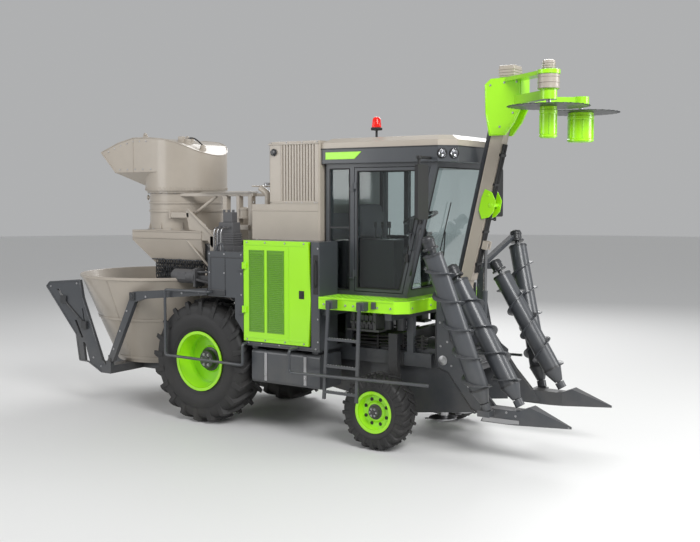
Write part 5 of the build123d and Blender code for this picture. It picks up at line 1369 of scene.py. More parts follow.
@dataclass
class Underbody(Assembly):
    """Valve bank, filters and clamped steel lines under the walkway."""

    def build(self) -> None:
        """Makes the bank, the filters and the lines on both sides."""
        bench = self.bench
        for name, s in SIDES.items():
            y = s * 0.5
            bank = [bench.block("bank", at(1.86, y - 0.06, 1.235), at(2.22, y + 0.06, 1.37), 0.008)]
            for k in range(6):
                x = 1.885 + 0.058 * k
                bank.append(bench.block("slice", at(x, y - 0.075, 1.225), at(x + 0.046, y + 0.075, 1.38),
                    0.005))
                bank += bench.drums(
                    ((x + 0.023, y + s * 0.07, 1.3), (x + 0.023, y + s * 0.115, 1.3), 0.017, 20, 0.003),
                    ((x + 0.023, y, 1.375), (x + 0.023, y, 1.425), 0.008, 12, 0.002))
            bank += bench.blocks(((1.84, s * 0.43, 1.2), (2.26, s * 0.6, 1.226), 0.004),
                ((1.9, s * 0.56, 1.222), (1.94, s * 0.6, 1.475), 0.005),
                ((2.18, s * 0.56, 1.222), (2.22, s * 0.6, 1.475), 0.005))
            self.fit(bench.join(f"valve_bank_{name}", bank), CAST, "chassis", "cast_grey")
            lines = []
            for k in range(4):
                z, out = 1.135 - 0.036 * k, s * (0.446 + 0.002 * k)
                lines.append(bench.tube("line",
                    [at(1.78, out, z), at(2.25, out, z), at(2.34, out, z + 0.03), at(2.78, out, z + 0.03)],
                    0.0105))
            for x in (1.88, 2.16, 2.48, 2.72):
                z = 1.06 if x < 2.3 else 1.09
                lines.append(bench.block("clamp", at(x - 0.014, s * 0.428, z - 0.06),
                    at(x + 0.014, s * 0.464, z + 0.1), 0.004))
            self.fit(bench.join(f"throat_lines_{name}", lines), SEAL, "chassis", "black_plastic")
            filters = []
            for x in (2.34, 2.5):
                filters.append(bench.lathe("filter",
                    [(0, 1.235), (0.046, 1.235), (0.052, 1.245), (0.052, 1.375), (0.056, 1.38), (0.056, 1.41),
                    (0.03, 1.42), (0.03, 1.472), (0, 1.472)], at(x, s * 0.52, 0), UP, 40))
            self.fit(bench.join(f"line_filters_{name}", filters), SLATE_DARK, "chassis", "slate_grey")


@dataclass
class DeckAndLadder(Assembly):
    """Tread plate, edge lip, rung grips and entry bracket of the walkway."""

    half: float = 1.02
    rear: float = 1.75
    nose: float = 2.82
    clip: float = 0.12
    top: float = 1.6

    def build(self) -> None:
        """Makes the raised treads, the lip with its bolts, the ladder's grips and the entry bracket."""
        bench = self.bench
        bump = bench.block("tread", (-0.016, -0.003, -0.001), (0.016, 0.003, 0.003), 0.0015, 1)
        places = []
        for i in range(28):
            for j, y in enumerate((-0.97, -0.93, -0.89, -0.85, -0.81, -0.77, -0.73, -0.69, 0.69, 0.73, 0.77,
                0.81, 0.85, 0.89, 0.93, 0.97)):
                x = self.rear + 0.03 + 0.038 * i
                if x > self.nose - 0.03 or (abs(y) > 0.88 and x > self.nose - 0.13):
                    continue
                turn = math.radians(45 if (i + j) % 2 else -45)
                places.append(Matrix.Translation(at(x, y, self.top)) @ Matrix.Rotation(turn, 4, "Z"))
        self.fit(bench.strew("deck_treads", bump, places), LIME, "chassis", "lime_green")
        lip = []
        for s in (-1, 1):
            lip += bench.blocks(
                ((self.rear + 0.004, s * (self.half - 0.002), self.top - 0.018),
                (self.nose - self.clip, s * (self.half + 0.006), self.top + 0.004), 0.003),
                ((self.rear + 0.004, s * (self.half - 0.002), 1.471),
                (self.nose - self.clip, s * (self.half + 0.004), 1.482), 0.003))
        lip.append(bench.block("lip", at(self.nose - 0.002, -self.half + self.clip, self.top - 0.018),
            at(self.nose + 0.006, self.half - self.clip, self.top + 0.004), 0.003))
        self.fit(bench.join("deck_lip", lip), LIME, "chassis", "lime_green")
        seats = [(at(x, s * self.half, 1.525), Vector((0, s, 0))) for s in (-1, 1)
            for x in (1.82, 2.1, 2.2, 2.5, 2.66)]
        seats += [(at(self.nose, y, 1.525), FORWARD) for y in (-0.85, -0.45, 0.45, 0.85)]
        self.fit(bench.bolts("deck_bolts", seats, 0.009), BOLT, "chassis", "bare_steel")
        ladder_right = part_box("ladder")[0][1]
        grips = []
        for z in (0.6, 0.88, 1.17):
            share = (z - 0.52) / 1.04
            x0, x1 = 1.895 + 0.06 * share, 2.31 + 0.035 * share
            for k in range(11):
                x = x0 + 0.03 + (x1 - x0 - 0.06) * k / 10
                grips.append(Matrix.Translation(at(x, ladder_right + 0.018, z + 0.014)))
        tooth = bench.drum("tooth", (0, 0, -0.002), (0, 0, 0.004), 0.009, 10, 0.001, 0.006)
        self.fit(bench.strew("rung_grips", tooth, grips), STEEL, "chassis", "bare_steel")
        clamp = [bench.block("clamp", at(2.435, -self.half + 0.001, 1.51),
            at(2.485, -self.half - 0.022, 1.585), 0.004)]
        self.fit(bench.join("entry_bracket", clamp), SLATE, "chassis", "slate_grey")


# ------------------------------------------------------------------------------ extractor and tub
@dataclass
class Extractor(Assembly):
    """Hood seams and lugs, ring bolts, motor, chain curtain and pipes."""

    x: float = -1.1
    ring: float = 0.476
    ring_low: float = 2.255
    ring_high: float = 2.76
    half: float = 0.534
    lid: tuple[tuple[float, float], ...] = ((0.534, 0.455), (0.427, 0.52), (0.294, 0.6), (0.1, 0.655),
        (-0.15, 0.68), (-0.43, 0.684), (-0.71, 0.625), (-1.027, 0.512))
    chin: tuple[float, float] = (-0.758, 0.243)
    mouth: float = -0.4
    slew_teeth: int = 90
    top_bolts: tuple[int, float] = (28, 0.494)
    low_bolts: tuple[int, float] = (20, 0.491)
    curtain_rear: float = -1.17
    curtain_half: float = 0.444
    row_gap: float = 0.045
    hook_height: float = 1.858
    link_drop: float = 0.047
    rail_height: float = 1.883

    def lid_height(self, along: float) -> float:
        """Height of the hood's lid above the ring.

        Args:
            along: Distance forward of the slewing axis.

        Returns:
            The height.
        """
        for (x1, z1), (x0, z0) in zip(self.lid, self.lid[1:]):
            if x0 <= along <= x1:
                return z0 + (z1 - z0) * (along - x0) / (x1 - x0)
        return self.lid[0][1]

    def lid_edge(self, s: int, grow: float) -> list[Vector]:
        """Points round the lid's edge from the mouth to the front.

        Args:
            s: -1 for the right half, 1 for the left half.
            grow: Distance out from the wall.

        Returns:
            The points.
        """
        z = self.ring_high + 0.0003
        out = self.half + grow
        points = [at(self.x + px, s * out, z + pz) for px, pz in reversed(self.lid) if px < -0.001]
        for k in range(13):
            angle = math.radians(90 * (1 - k / 12))
            px = self.half * math.cos(angle)
            points.append(at(self.x + px * out / self.half, s * out * math.sin(angle),
                z + self.lid_height(px)))
        return points

    def hood(self) -> None:
        """Lip frame, seams, lugs and stiffeners that turn with the hood."""
        bench = self.bench
        z = self.ring_high + 0.0003
        lip, chin = (self.x + self.lid[-1][0], z + self.lid[-1][1]), (self.x + self.chin[0], z + self.chin[1])
        pieces = [bench.tube("rim", self.lid_edge(s, 0.001), 0.007, False) for s in (-1, 1)]
        for s in (-1, 1):
            pieces += bench.drums(
                ((lip[0], s * self.half, lip[1]), (chin[0], s * self.half, chin[1]), 0.01, 12, 0.002),
                ((chin[0], s * (self.half - 0.002), chin[1]),
                (self.x - 0.02, s * (self.half - 0.002), chin[1]), 0.006, 10, 0),
                ((chin[0] + 0.004, s * (self.half - 0.006), chin[1] - 0.002),
                (self.x - 0.402, s * 0.298, z + 0.062), 0.006, 10, 0),
                ((self.x - 0.43, s * (self.half + 0.001), z + 0.684),
                (self.x - 0.43, s * (self.half + 0.001), chin[1]), 0.005, 10, 0))
        for x, h in (lip, chin):
            pieces.append(bench.drum("edge", at(x, -self.half, h), at(x, self.half, h), 0.01, 12, 0.002))
        self.fit(bench.join("hood_seams", pieces), GREIGE, "hood", "body_grey")
        lugs = []
        for s in (-1, 1):
            y = s * 0.4
            outline = [at(x, y - 0.006, z)
                for x, z in ((self.x - 0.4, z + 0.68), (self.x - 0.29, z + 0.68), (self.x - 0.32, z + 0.745),
                (self.x - 0.37, z + 0.745))]
            lugs.append(bench.plate("lug", outline, Vector((0, 0.012, 0)), 0.003))
            lugs.append(bench.drum("eye", at(self.x - 0.345, y - 0.01, z + 0.735),
                at(self.x - 0.345, y + 0.01, z + 0.735), 0.019, 24, 0.002))
        for x, y, r in ((0.24, -0.24, 0.05), (0.4, -0.12, 0.034), (0.12, -0.02, 0.03)):
            lugs.append(bench.lathe("cap",
                [(0, -0.04), (r * 1.3, -0.04), (r * 1.3, 0.014), (r, 0.022), (r, 0.046), (r * 0.7, 0.056),
                (0, 0.056)], at(self.x + x, y, z + self.lid_height(x) - 0.004), UP, 32))
        lugs.append(bench.block("motor", at(self.x + 0.16, -0.33, z + 0.6),
            at(self.x + 0.24, -0.27, z + 0.695), 0.008))
        self.fit(bench.join("hood_lugs", lugs), GREIGE, "hood", "body_grey")
        pipes = [bench.tube("pipe", [at(self.x + 0.24, -0.24, z + 0.66), at(self.x + 0.24, -0.16, z + 0.69),
            at(self.x + 0.3, -0.12, z + 0.66), at(self.x + 0.4, -0.12, z + 0.58)], 0.009),
            bench.tube("pipe", [at(self.x + 0.24, -0.24, z + 0.655), at(self.x + 0.18, -0.12, z + 0.7),
            at(self.x + 0.12, -0.02, z + 0.69)], 0.009)]
        self.fit(bench.join("hood_pipes", pipes), SEAL, "hood", "black_plastic")
        teeth = bench.block("tooth", (-0.006, -0.01, 0.0), (0.006, 0.004, 0.03), 0.002, 1)
        places = [Matrix.Translation(at(self.x, 0, z + 0.012))
            @ Matrix.Rotation(math.tau * k / self.slew_teeth, 4, "Z")
            @ Matrix.Translation((0, self.half + 0.001, 0)) for k in range(self.slew_teeth)]
        self.fit(bench.strew("slew_teeth", teeth, places), GREIGE, "hood", "body_grey")
        seats = []
        for s in (-1, 1):
            for k in range(7):
                x = -0.2 - 0.115 * k
                seats.append((at(self.x + x, s * self.half, z + self.lid_height(x) - 0.045),
                    Vector((0, s, 0))))
            for k in range(5):
                seats.append((at(self.x - 0.12 - 0.14 * k, s * self.half, z + self.chin[1] + 0.035),
                    Vector((0, s, 0))))
        self.fit(bench.bolts("hood_bolts", seats, 0.008), BOLT, "hood", "bare_steel")

    def tower(self) -> None:
        """Ring flange bolts, side pocket, clamps, motor and braces."""
        bench = self.bench
        seats = []
        for height, up, (count, radius) in ((self.ring_high - 0.025, -1, self.top_bolts),
            (self.ring_low + 0.014, 1, self.low_bolts)):
            for k in range(count):
                angle = math.tau * k / count
                seats.append((at(self.x, 0, height)
                    + Vector((radius * math.cos(angle), radius * math.sin(angle), 0)), Vector((0, 0, up))))
        self.fit(bench.bolts("ring_bolts", seats, 0.01), BOLT, "chassis", "bare_steel")
        bars = []
        for k in range(10):
            angle = math.tau * (k + 0.5) / 10
            out = Vector((math.cos(angle), math.sin(angle), 0))
            base = at(self.x, 0, self.ring_low + 0.014) + out * (self.ring - 0.002)
            side = Vector((-out.y, out.x, 0)) * 0.005
            bars.append(bench.plate("gusset",
                [base - side, base - side + out * 0.03, base - side + Vector((0, 0, 0.1))], side * 2, 0.001))
        for degrees, z in ((200, 2.675), (192, 2.555), (160, 2.675), (168, 2.555)):
            out = Vector((math.cos(math.radians(degrees)), math.sin(math.radians(degrees)), 0))
            spot = at(self.x, 0, z) + out * (self.ring + 0.004)
            bars.append(bench.drum("clamp", spot, spot + out * 0.085, 0.016, 16, 0.003))
            bars.append(bench.drum("clamp", spot + out * 0.07 - Vector((0, 0, 0.035)),
                spot + out * 0.07 + Vector((0, 0, 0.035)), 0.012, 16, 0.003))
        self.fit(bench.join("ring_gussets", bars), GREIGE, "chassis", "body_grey")
        front = self.mouth
        pocket = bench.blocks(((-0.93, -0.425, 2.415), (-0.6, -0.5, 2.49), 0.01),
            ((-0.94, -0.455, 2.405), (-0.915, -0.51, 2.5), 0.005),
            ((-1.58, -0.499, 2.15), (front - 0.01, -0.512, 2.162), 0.003),
            ((-1.58, -0.499, 2.235), (front - 0.01, -0.508, 2.247), 0.003),
            ((-1.58, 0.499, 2.15), (front - 0.01, 0.512, 2.162), 0.003))
        for s in (-1, 1):
            y = s * 0.5
            wing = [at(x, y, z) for x, z in ((-0.66, 2.52), (-0.585, 2.52), (-0.16, 2.18), (-0.16, 2.06),
                (-0.23, 2.06), (front + 0.02, 2.25), (-0.6, 2.27))]
            pocket.append(bench.plate("wing", wing, Vector((0, -s * 0.01, 0)), 0.002))
            pocket.append(bench.drum("edge", at(-0.62, y, 2.53), at(-0.15, y, 2.165), 0.016, 16, 0.003))
            pocket += bench.blocks(((front - 0.002, s * 0.492, 2.14), (-0.2, s * 0.48, 2.255), 0.002),
                ((-0.26, s * 0.5, 1.66), (-0.2, s * 0.47, 2.2), 0.006))
            pocket.append(bench.drum("strut", at(front - 0.25, s * 0.49, 2.14), at(-0.21, s * 0.485, 1.75),
                0.015, 16, 0.003))
        self.fit(bench.join("collar_braces", pocket), GREIGE, "chassis", "body_grey")
        stand = [bench.block("plate", at(-0.42, -0.47, 2.735), at(0.345, -0.29, 2.748), 0.004),
            bench.drum("strut", at(-0.62, -0.4, 2.45), at(-0.25, -0.38, 2.69), 0.022, 20), *bench.blocks(
            ((0.27, -0.402, 2.13), (0.33, -0.328, 2.7), 0.006),
            ((-0.12, -0.42, 2.3), (-0.05, -0.34, 2.7), 0.006),
            ((0.1, -0.42, 2.36), (0.15, -0.34, 2.7), 0.006),
            ((-0.14, -0.43, 2.28), (0.3, -0.33, 2.34), 0.006))]
        self.fit(bench.join("tower_bracket", stand), GREIGE, "chassis", "body_grey")
        motor = bench.lathe("slew_motor",
            [(0, 0), (0.075, 0), (0.075, 0.016), (0.06, 0.022), (0.06, 0.1), (0.066, 0.105), (0.066, 0.122),
            (0.052, 0.134), (0.03, 0.14), (0, 0.14)], at(0.2, -0.38, 2.42), UP, 36)
        self.fit(motor, GREIGE, "chassis", "body_grey")
        funnel = [bench.drum("seam", at(-1.6 + 0.006, s * 0.498, 2.128), at(-1.192, s * 0.431, 1.802), 0.007,
            10, 0) for s in (-1, 1)]
        funnel += [bench.drum("seam", at(front - 0.002, s * 0.498, 2.128),
            at(front - 0.002, s * 0.431, 1.802), 0.007, 10, 0) for s in (-1, 1)]
        funnel += [bench.block("hem", at(-1.2, s * 0.426, 1.798), at(front + 0.005, s * 0.44, 1.822), 0.003)
            for s in (-1, 1)]
        self.fit(bench.join("funnel_seams", funnel), GREIGE, "chassis", "body_grey")

    def curtain(self) -> None:
        """Rows of short chains hung round the funnel's lower rim."""
        bench = self.bench
        bench.clear()
        bpy.ops.mesh.primitive_torus_add(major_radius=0.02, minor_radius=0.0058, major_segments=10,
            minor_segments=5)
        link = bpy.context.object
        for vertex in link.data.vertices:
            vertex.co.x += 0.01 * (1 if vertex.co.x > 0 else -1)
        places = []
        rear, rows = self.curtain_rear, (0.0, self.row_gap)
        upright = Matrix.Rotation(math.radians(90), 4, "Y")
        for row, depth in enumerate(rows):
            for k in range(19):
                x = rear + 0.0415 * k + 0.012 * row
                for s in (-1, 1):
                    for n in range(5 + (k + row) % 3):
                        twist = 90 * (n % 2) + 17 * math.sin(k * 2.3 + row)
                        place = at(x + 0.004 * math.sin(k * 1.7 + n), s * (self.curtain_half + depth),
                                   self.hook_height - self.link_drop * n)
                        places.append(Matrix.Translation(place) @ upright
                            @ Matrix.Rotation(math.radians(twist), 4, "X"))
            for k in range(18):
                y = -0.4 + 0.047 * k
                for n in range(5 + k % 3):
                    twist = 90 * (n % 2) + 12 * math.sin(k * 1.9)
                    place = at(rear - 0.042 - depth, y, self.hook_height - self.link_drop * n)
                    places.append(Matrix.Translation(place) @ upright
                        @ Matrix.Rotation(math.radians(twist), 4, "X"))
        self.fit(bench.strew("chain_curtain", link, places), SLATE_DARK, "chassis", "bare_steel")
        rails = []
        for depth in rows:
            for s in (-1, 1):
                y = s * (self.curtain_half + depth)
                rails.append(bench.drum("rail", at(rear - 0.06, y, self.rail_height),
                    at(self.mouth - 0.002, y, self.rail_height), 0.008, 12))
            rails.append(bench.drum("rail", at(rear - 0.042 - depth, -0.49, self.rail_height),
                at(rear - 0.042 - depth, 0.49, self.rail_height), 0.008, 12))
        for s in (-1, 1):
            for x in (-1.1, -0.8, -0.5):
                rails.append(bench.block("hanger", at(x - 0.012, s * 0.432, 1.87),
                    at(x + 0.012, s * 0.496, 1.896), 0.003))
        self.fit(bench.join("curtain_rails", rails), SLATE, "chassis", "slate_grey")

    def motor(self) -> None:
        """Dark hydraulic motor beside the funnel with its ports and bracket."""
        bench = self.bench
        body = [*bench.drums(((-0.72, -0.62, 1.7), (-0.36, -0.62, 1.7), 0.088, 32, 0.008),
            ((-0.37, -0.62, 1.7), (-0.33, -0.62, 1.7), 0.112, 32, 0.004),
            ((-0.76, -0.62, 1.7), (-0.71, -0.62, 1.7), 0.058, 28, 0.006)), *bench.blocks(
            ((-0.62, -0.71, 1.66), (-0.48, -0.64, 1.76), 0.008),
            ((-0.34, -0.72, 1.58), (-0.31, -0.54, 1.8), 0.004),
            ((-0.32, -0.66, 1.66), (0.152, -0.6, 1.72), 0.005)), *bench.drums(
            ((-0.55, -0.69, 1.7), (-0.1, -0.69, 1.64), 0.018, 16, 0.002),
            ((-0.55, -0.67, 1.75), (-0.12, -0.67, 1.77), 0.014, 16, 0.002),
            ((-0.12, -0.67, 1.77), (0.152, -0.67, 1.74), 0.014, 16, 0.002),
            ((-0.1, -0.69, 1.64), (0.152, -0.69, 1.68), 0.018, 16, 0.002))]
        self.fit(bench.join("funnel_motor", body), CAST, "chassis", "slate_grey")

    def build(self) -> None:
        """Makes everything of the extractor."""
        self.hood()
        self.tower()
        self.curtain()
        self.motor()


@dataclass
class TubAndFrame(Assembly):
    """Seams and hoop of the tub, gussets, links and bolts of its carrier."""

    x: float = -1.496
    rim: float = 1.111
    rim_z: float = 1.671
    foot: float = 0.63
    foot_z: float = 0.54

    def wall(self, angle: float, z: float, out: float = 0.0) -> Vector:
        """A point on the tub's outside.

        Args:
            angle: Angle round the tub in radians.
            z: Height.
            out: Distance out from the wall.

        Returns:
            The point.
        """
        share = (z - self.foot_z) / (self.rim_z - 0.03 - self.foot_z)
        radius = self.foot + (self.rim - 0.014 - self.foot) * share + out
        return at(self.x + radius * math.cos(angle), radius * math.sin(angle), z)

    def build(self) -> None:
        """Makes the seams, the hoop, the gussets, the tie links and the bolts."""
        bench = self.bench
        seams = []
        for degrees in (-148, -88, -20, 40, 100, 160):
            angle = math.radians(degrees)
            seams.append(bench.drum("seam", self.wall(angle, 0.56), self.wall(angle, 1.63), 0.007, 8, 0))
            seams.append(bench.drum("seam", self.wall(angle + 0.01, 0.56), self.wall(angle + 0.008, 1.63),
                0.004, 8, 0))
        middle = at(self.x, 0, 0)
        for z in (0.6, 1.12):
            r = (self.wall(0, z) - middle).x
            seams.append(bench.lathe("hoop",
                [(r - 0.004, z - 0.016), (r + 0.006, z - 0.016), (r + 0.012, z + 0.016),
                (r + 0.002, z + 0.016)], middle, UP, 96))
        self.fit(bench.join("tub_seams", seams), GREIGE, "chassis", "body_grey")
        rim = bench.lathe("tub_rim_roll",
            [(self.rim - 0.012 + 0.012 * math.cos(a), self.rim_z - 0.006 + 0.012 * math.sin(a))
            for a in [math.tau * k / 12 for k in range(12)]], middle, UP, 128)
        self.fit(rim, GREIGE, "chassis", "body_grey")
        for name, s in SIDES.items():
            pieces = [bench.drum("tie", at(-2.34, s * 1.016, 1.33), at(-1.93, s * 1.016, 1.02), 0.016, 16),
                *bench.blocks(((-2.0, s * 1.005, 0.98), (-1.9, s * 1.045, 1.08), 0.006),
                ((-2.4, s * 1.005, 1.29), (-2.29, s * 1.035, 1.39), 0.006),
                ((-1.12, s * 1.014, 1.4), (-1.03, s * 1.036, 1.5), 0.006)),
                bench.drum("pin", at(-1.075, s * 1.0, 1.45), at(-1.075, s * 1.046, 1.45), 0.026, 24),
                bench.block("doubler", at(0.16, s * 0.958, 1.535), at(0.42, s * 1.014, 1.605), 0.006),
                bench.drum("pin", at(-1.49, s * 1.0, 0.62), at(-1.49, s * 1.034, 0.62), 0.022, 24)]
            self.fit(bench.join(f"carrier_links_{name}", pieces), SLATE_DARK, "chassis", "slate_grey")
            edges = []
            outline = [(-2.685, 1.5), (-2.62, 1.555), (-2.045, 1.605), (-1.995, 1.38), (-1.645, 0.6)]
            for a, b in zip(outline, outline[1:]):
                edges.append(bench.drum("flange", at(a[0], s * 1.01, a[1]), at(b[0], s * 1.01, b[1]), 0.011,
                    10, 0.002))
            lower = [(-2.685, 1.5), (-2.12, 0.9), (-2.06, 0.565), (-1.9, 0.56), (-1.65, 0.445)]
            for a, b in zip(lower, lower[1:]):
                edges.append(bench.drum("flange", at(a[0], s * 1.01, a[1]), at(b[0], s * 1.01, b[1]), 0.011,
                    10, 0.002))
            self.fit(bench.join(f"carrier_flanges_{name}", edges), SLATE, "chassis", "slate_grey")
            seats = [(at(x, s * 1.02, z), Vector((0, s, 0)))
                for x, z in ((0.02, 1.555), (-0.25, 1.535), (-0.85, 1.455), (-1.18, 1.26), (-1.3, 1.0),
                (-1.42, 0.76))]
            seats += [(at(x, s * 1.01, z), Vector((0, s, 0)))
                for x, z in ((-2.6, 1.5), (-2.1, 1.56), (-1.8, 0.62), (-1.66, 0.52))]
            self.fit(bench.bolts(f"carrier_bolts_{name}", seats, 0.01), BOLT, "chassis", "bare_steel")


# ------------------------------------------------------------------------------ topper and dividers
@dataclass
class Topper(Assembly):
    """Boom lines and latch, head bolts and rotor bands."""

    pivot: tuple[float, float] = (3.02, 1.68)
    tilt: float = 13.1
    length: float = 1.89
    reach: float = 4.13
    apart: float = 0.45
    cheek: float = 0.11
    disc_teeth: int = 32
    drum_bars: int = 6

    def along(self, distance: float, forward: float = 0.0, y: float = 0.0) -> Vector:
        """A point by its distance up the boom, forward of its middle line.

        Args:
            distance: Distance from the foot pin.
            forward: Distance forward of the middle line.
            y: Distance to the machine's left.

        Returns:
            The point.
        """
        t = math.radians(self.tilt)
        return at(self.pivot[0] + distance * math.sin(t) + forward * math.cos(t), y,
                  self.pivot[1] + distance * math.cos(t) - forward * math.sin(t))

    def boom(self) -> None:
        """Lime latch bracket, weld seams, clamped steel lines and pin keepers."""
        bench = self.bench
        half, face = 0.07, 0.065
        latch = []
        for y in (-half - 0.016, half + 0.004):
            outline = [self.along(d, f, y)
                for d, f in ((0.79, 0.035), (0.83, 0.115), (0.9, 0.155), (1.02, 0.15), (1.1, 0.085),
                (1.115, 0.0), (1.02, -0.02), (0.88, -0.02))]
            latch.append(bench.plate("cheek", outline, Vector((0, 0.012, 0)), 0.003))
        latch.append(bench.drum("bush", self.along(0.96, 0.105, -half - 0.022),
            self.along(0.96, 0.105, half + 0.022), 0.024, 24))
        latch.append(bench.drum("bush", self.along(1.06, 0.055, -half - 0.022),
            self.along(1.06, 0.055, half + 0.022), 0.016, 24))
        self.fit(bench.join("boom_latch", latch), LIME, "boom", "lime_green")
        lines = []
        for y in (-0.045, -0.018, 0.018, 0.045):
            lines.append(bench.tube("line", [self.along(d, face + 0.018, y) for d in (0.2, 0.55, 1.2, 1.62)],
                0.0085, False))
        self.fit(bench.join("boom_lines", lines), SEAL, "boom", "black_plastic")
        model = bench.block("clamp", (-0.062, -0.0, -0.014), (0.062, 0.03, 0.014), 0.003)
        axis = self.along(1, 0) - self.along(0, 0)
        forward = self.along(0, 1) - self.along(0, 0)
        turn = Matrix((LEFT, forward, -axis)).transposed().to_4x4()
        places = [Matrix.Translation(self.along(d, face - 0.001)) @ turn for d in (0.3, 0.66, 1.18, 1.5)]
        self.fit(bench.strew("boom_clamps", model, places), PLASTIC, "boom", "black_plastic")
        keepers = []
        for d, r in ((0.0, 0.04), (self.length, 0.034)):
            for s in (-1, 1):
                keepers.append(bench.drum("keeper", self.along(d, 0, s * 0.06), self.along(d, 0, s * 0.0665),
                    r, 28, 0.002))
        seams = [bench.drum("seam", self.along(0.12, f, s * half), self.along(1.775, f, s * half), 0.004, 8,
            0) for f in (-face, face) for s in (-1, 1)]
        self.fit(bench.join("boom_seams", [*keepers, *seams]), GREIGE, "boom", "body_grey")

    def head(self) -> None:
        """Rims, bolts and caps of the head, with the drive motor's ribs."""
        bench = self.bench
        right = at(self.reach, -self.apart, 0)
        seats = [(at(x, s * self.cheek, z), Vector((0, s, 0))) for s in (-1, 1)
            for x, z in ((3.34, 3.86), (3.45, 3.42), (3.6, 3.56), (3.64, 3.88), (3.5, 3.88))]
        seats += [(Vector((right.x + 0.085 * math.cos(a), right.y + 0.085 * math.sin(a), 3.93)), UP)
            for a in [math.tau * k / 8 for k in range(8)]]
        self.fit(bench.bolts("head_bolts", seats, 0.009), BOLT, "head", "bare_steel")
        bands = []
        for z in (3.745, 3.8, 3.855):
            bands.append(bench.lathe("rib",
                [(0.1, z), (0.11, z + 0.003), (0.11, z + 0.012), (0.1, z + 0.015)],
                Vector((right.x, right.y, 0)), UP, 48))
        for z in (3.945, 3.968, 3.991):
            bands.append(bench.lathe("rib",
                [(0.058, z), (0.068, z + 0.002), (0.068, z + 0.009), (0.058, z + 0.011)],
                Vector((right.x, right.y, 0)), UP, 40))
        bands.append(bench.lathe("sleeve", [(0.06, 3.744), (0.1058, 3.744), (0.1058, 3.887), (0.06, 3.887)],
                                 Vector((right.x, right.y, 0)), UP, 56))
        bands.append(bench.lathe("sleeve",
            [(0, 3.932), (0.0632, 3.932), (0.0632, 4.021), (0.04, 4.03), (0, 4.03)],
            Vector((right.x, right.y, 0)), UP, 48))
        bands.append(bench.block("cover", at(3.432, -0.102, 3.935), at(3.608, 0.102, 4.0625), 0.012))
        for z in (3.955, 3.985, 4.015):
            bands.append(bench.block("fin", at(3.426, -0.108, z), at(3.614, 0.108, z + 0.01), 0.003))
        self.fit(bench.join("head_motor_ribs", bands), GREIGE, "head", "body_grey")
        hoops = []
        for s in (-1, 1):
            y = s * self.cheek
            outline = [(3.285, 3.865), (3.292, 3.565), (3.345, 3.345), (3.495, 3.345), (3.6, 3.47),
                (3.68, 3.625), (3.68, 3.92)]
            for a, b in zip(outline, outline[1:]):
                hoops.append(bench.drum("rim", at(a[0], y - s * 0.004, a[1]), at(b[0], y - s * 0.004, b[1]),
                    0.009, 10, 0.001))
        self.fit(bench.join("head_rims", hoops), LIME, "head", "lime_green")

    def rotors(self) -> None:
        """Dark discs with teeth, drum bands and drum blades of both rotors."""
        bench = self.bench
        for name, s in SIDES.items():
            radius = {"right": 0.088, "left": 0.14}[name]
            middle = at(self.reach, s * self.apart, 0)
            axis = UP
            disc = bench.lathe("disc", [(0.03, 3.5705), (0.372, 3.5705), (0.376, 3.572), (0.376, 3.578),
                (0.372, 3.5797), (0.12, 3.5797), (0.112, 3.585), (0.096, 3.59), (0.03, 3.59)], middle, axis,
                72)
            tooth = bench.plate("tooth", [Vector((0.34, -0.024, 3.5715)), Vector((0.409, -0.02, 3.5715)),
                Vector((0.4, 0.002, 3.5715)), Vector((0.392, 0.022, 3.5715)), Vector((0.34, 0.024, 3.5715))],
                Vector((0, 0, 0.007)), 0.001)
            teeth = bench.strew("teeth", tooth,
                [Matrix.Translation(middle) @ Matrix.Rotation(math.tau * k / self.disc_teeth, 4, "Z")
                for k in range(self.disc_teeth)])
            disc_piece = bench.join(f"rotor_{name}_disc", [disc, teeth])
            self.fit(disc_piece, SLATE_DARK, f"rotor_{name}", "bare_steel", [f"topper_rotor_{name}"])
            drum = bench.lathe("drum", [(0.03, 3.262), (radius - 0.012, 3.262), (radius - 0.012, 3.27),
                (radius, 3.272), (radius, 3.29), (radius - 0.006, 3.296), (radius - 0.006, 3.5),
                (radius, 3.506), (radius, 3.536), (radius - 0.006, 3.54), (radius - 0.006, 3.5705),
                (0.03, 3.5705)], middle, axis, 56)
            bar = bench.block("bar", middle + Vector((radius * 0.99 - 0.012, -0.006, 3.3)),
                middle + Vector((radius + 0.004, 0.006, 3.495)), 0.002)
            ribs = bench.strew("ribs", bar,
                [Matrix.Translation(middle) @ Matrix.Rotation(math.tau * k / self.drum_bars, 4, "Z")
                @ Matrix.Translation(-middle) for k in range(self.drum_bars)])
            self.fit(bench.join(f"rotor_{name}_drum", [drum, ribs]), LIME, f"rotor_{name}", "lime_green")
            shaft = bench.lathe(f"rotor_{name}_shaft",
                [(0, 3.568), (0.0235, 3.568), (0.0235, 3.719), (0, 3.719)], middle, axis, 32)
            self.fit(shaft, STEEL, f"rotor_{name}", "bare_steel")

    def build(self) -> None:
        """Makes the boom's, head's and rotors' pieces."""
        self.boom()
        self.head()
        self.rotors()


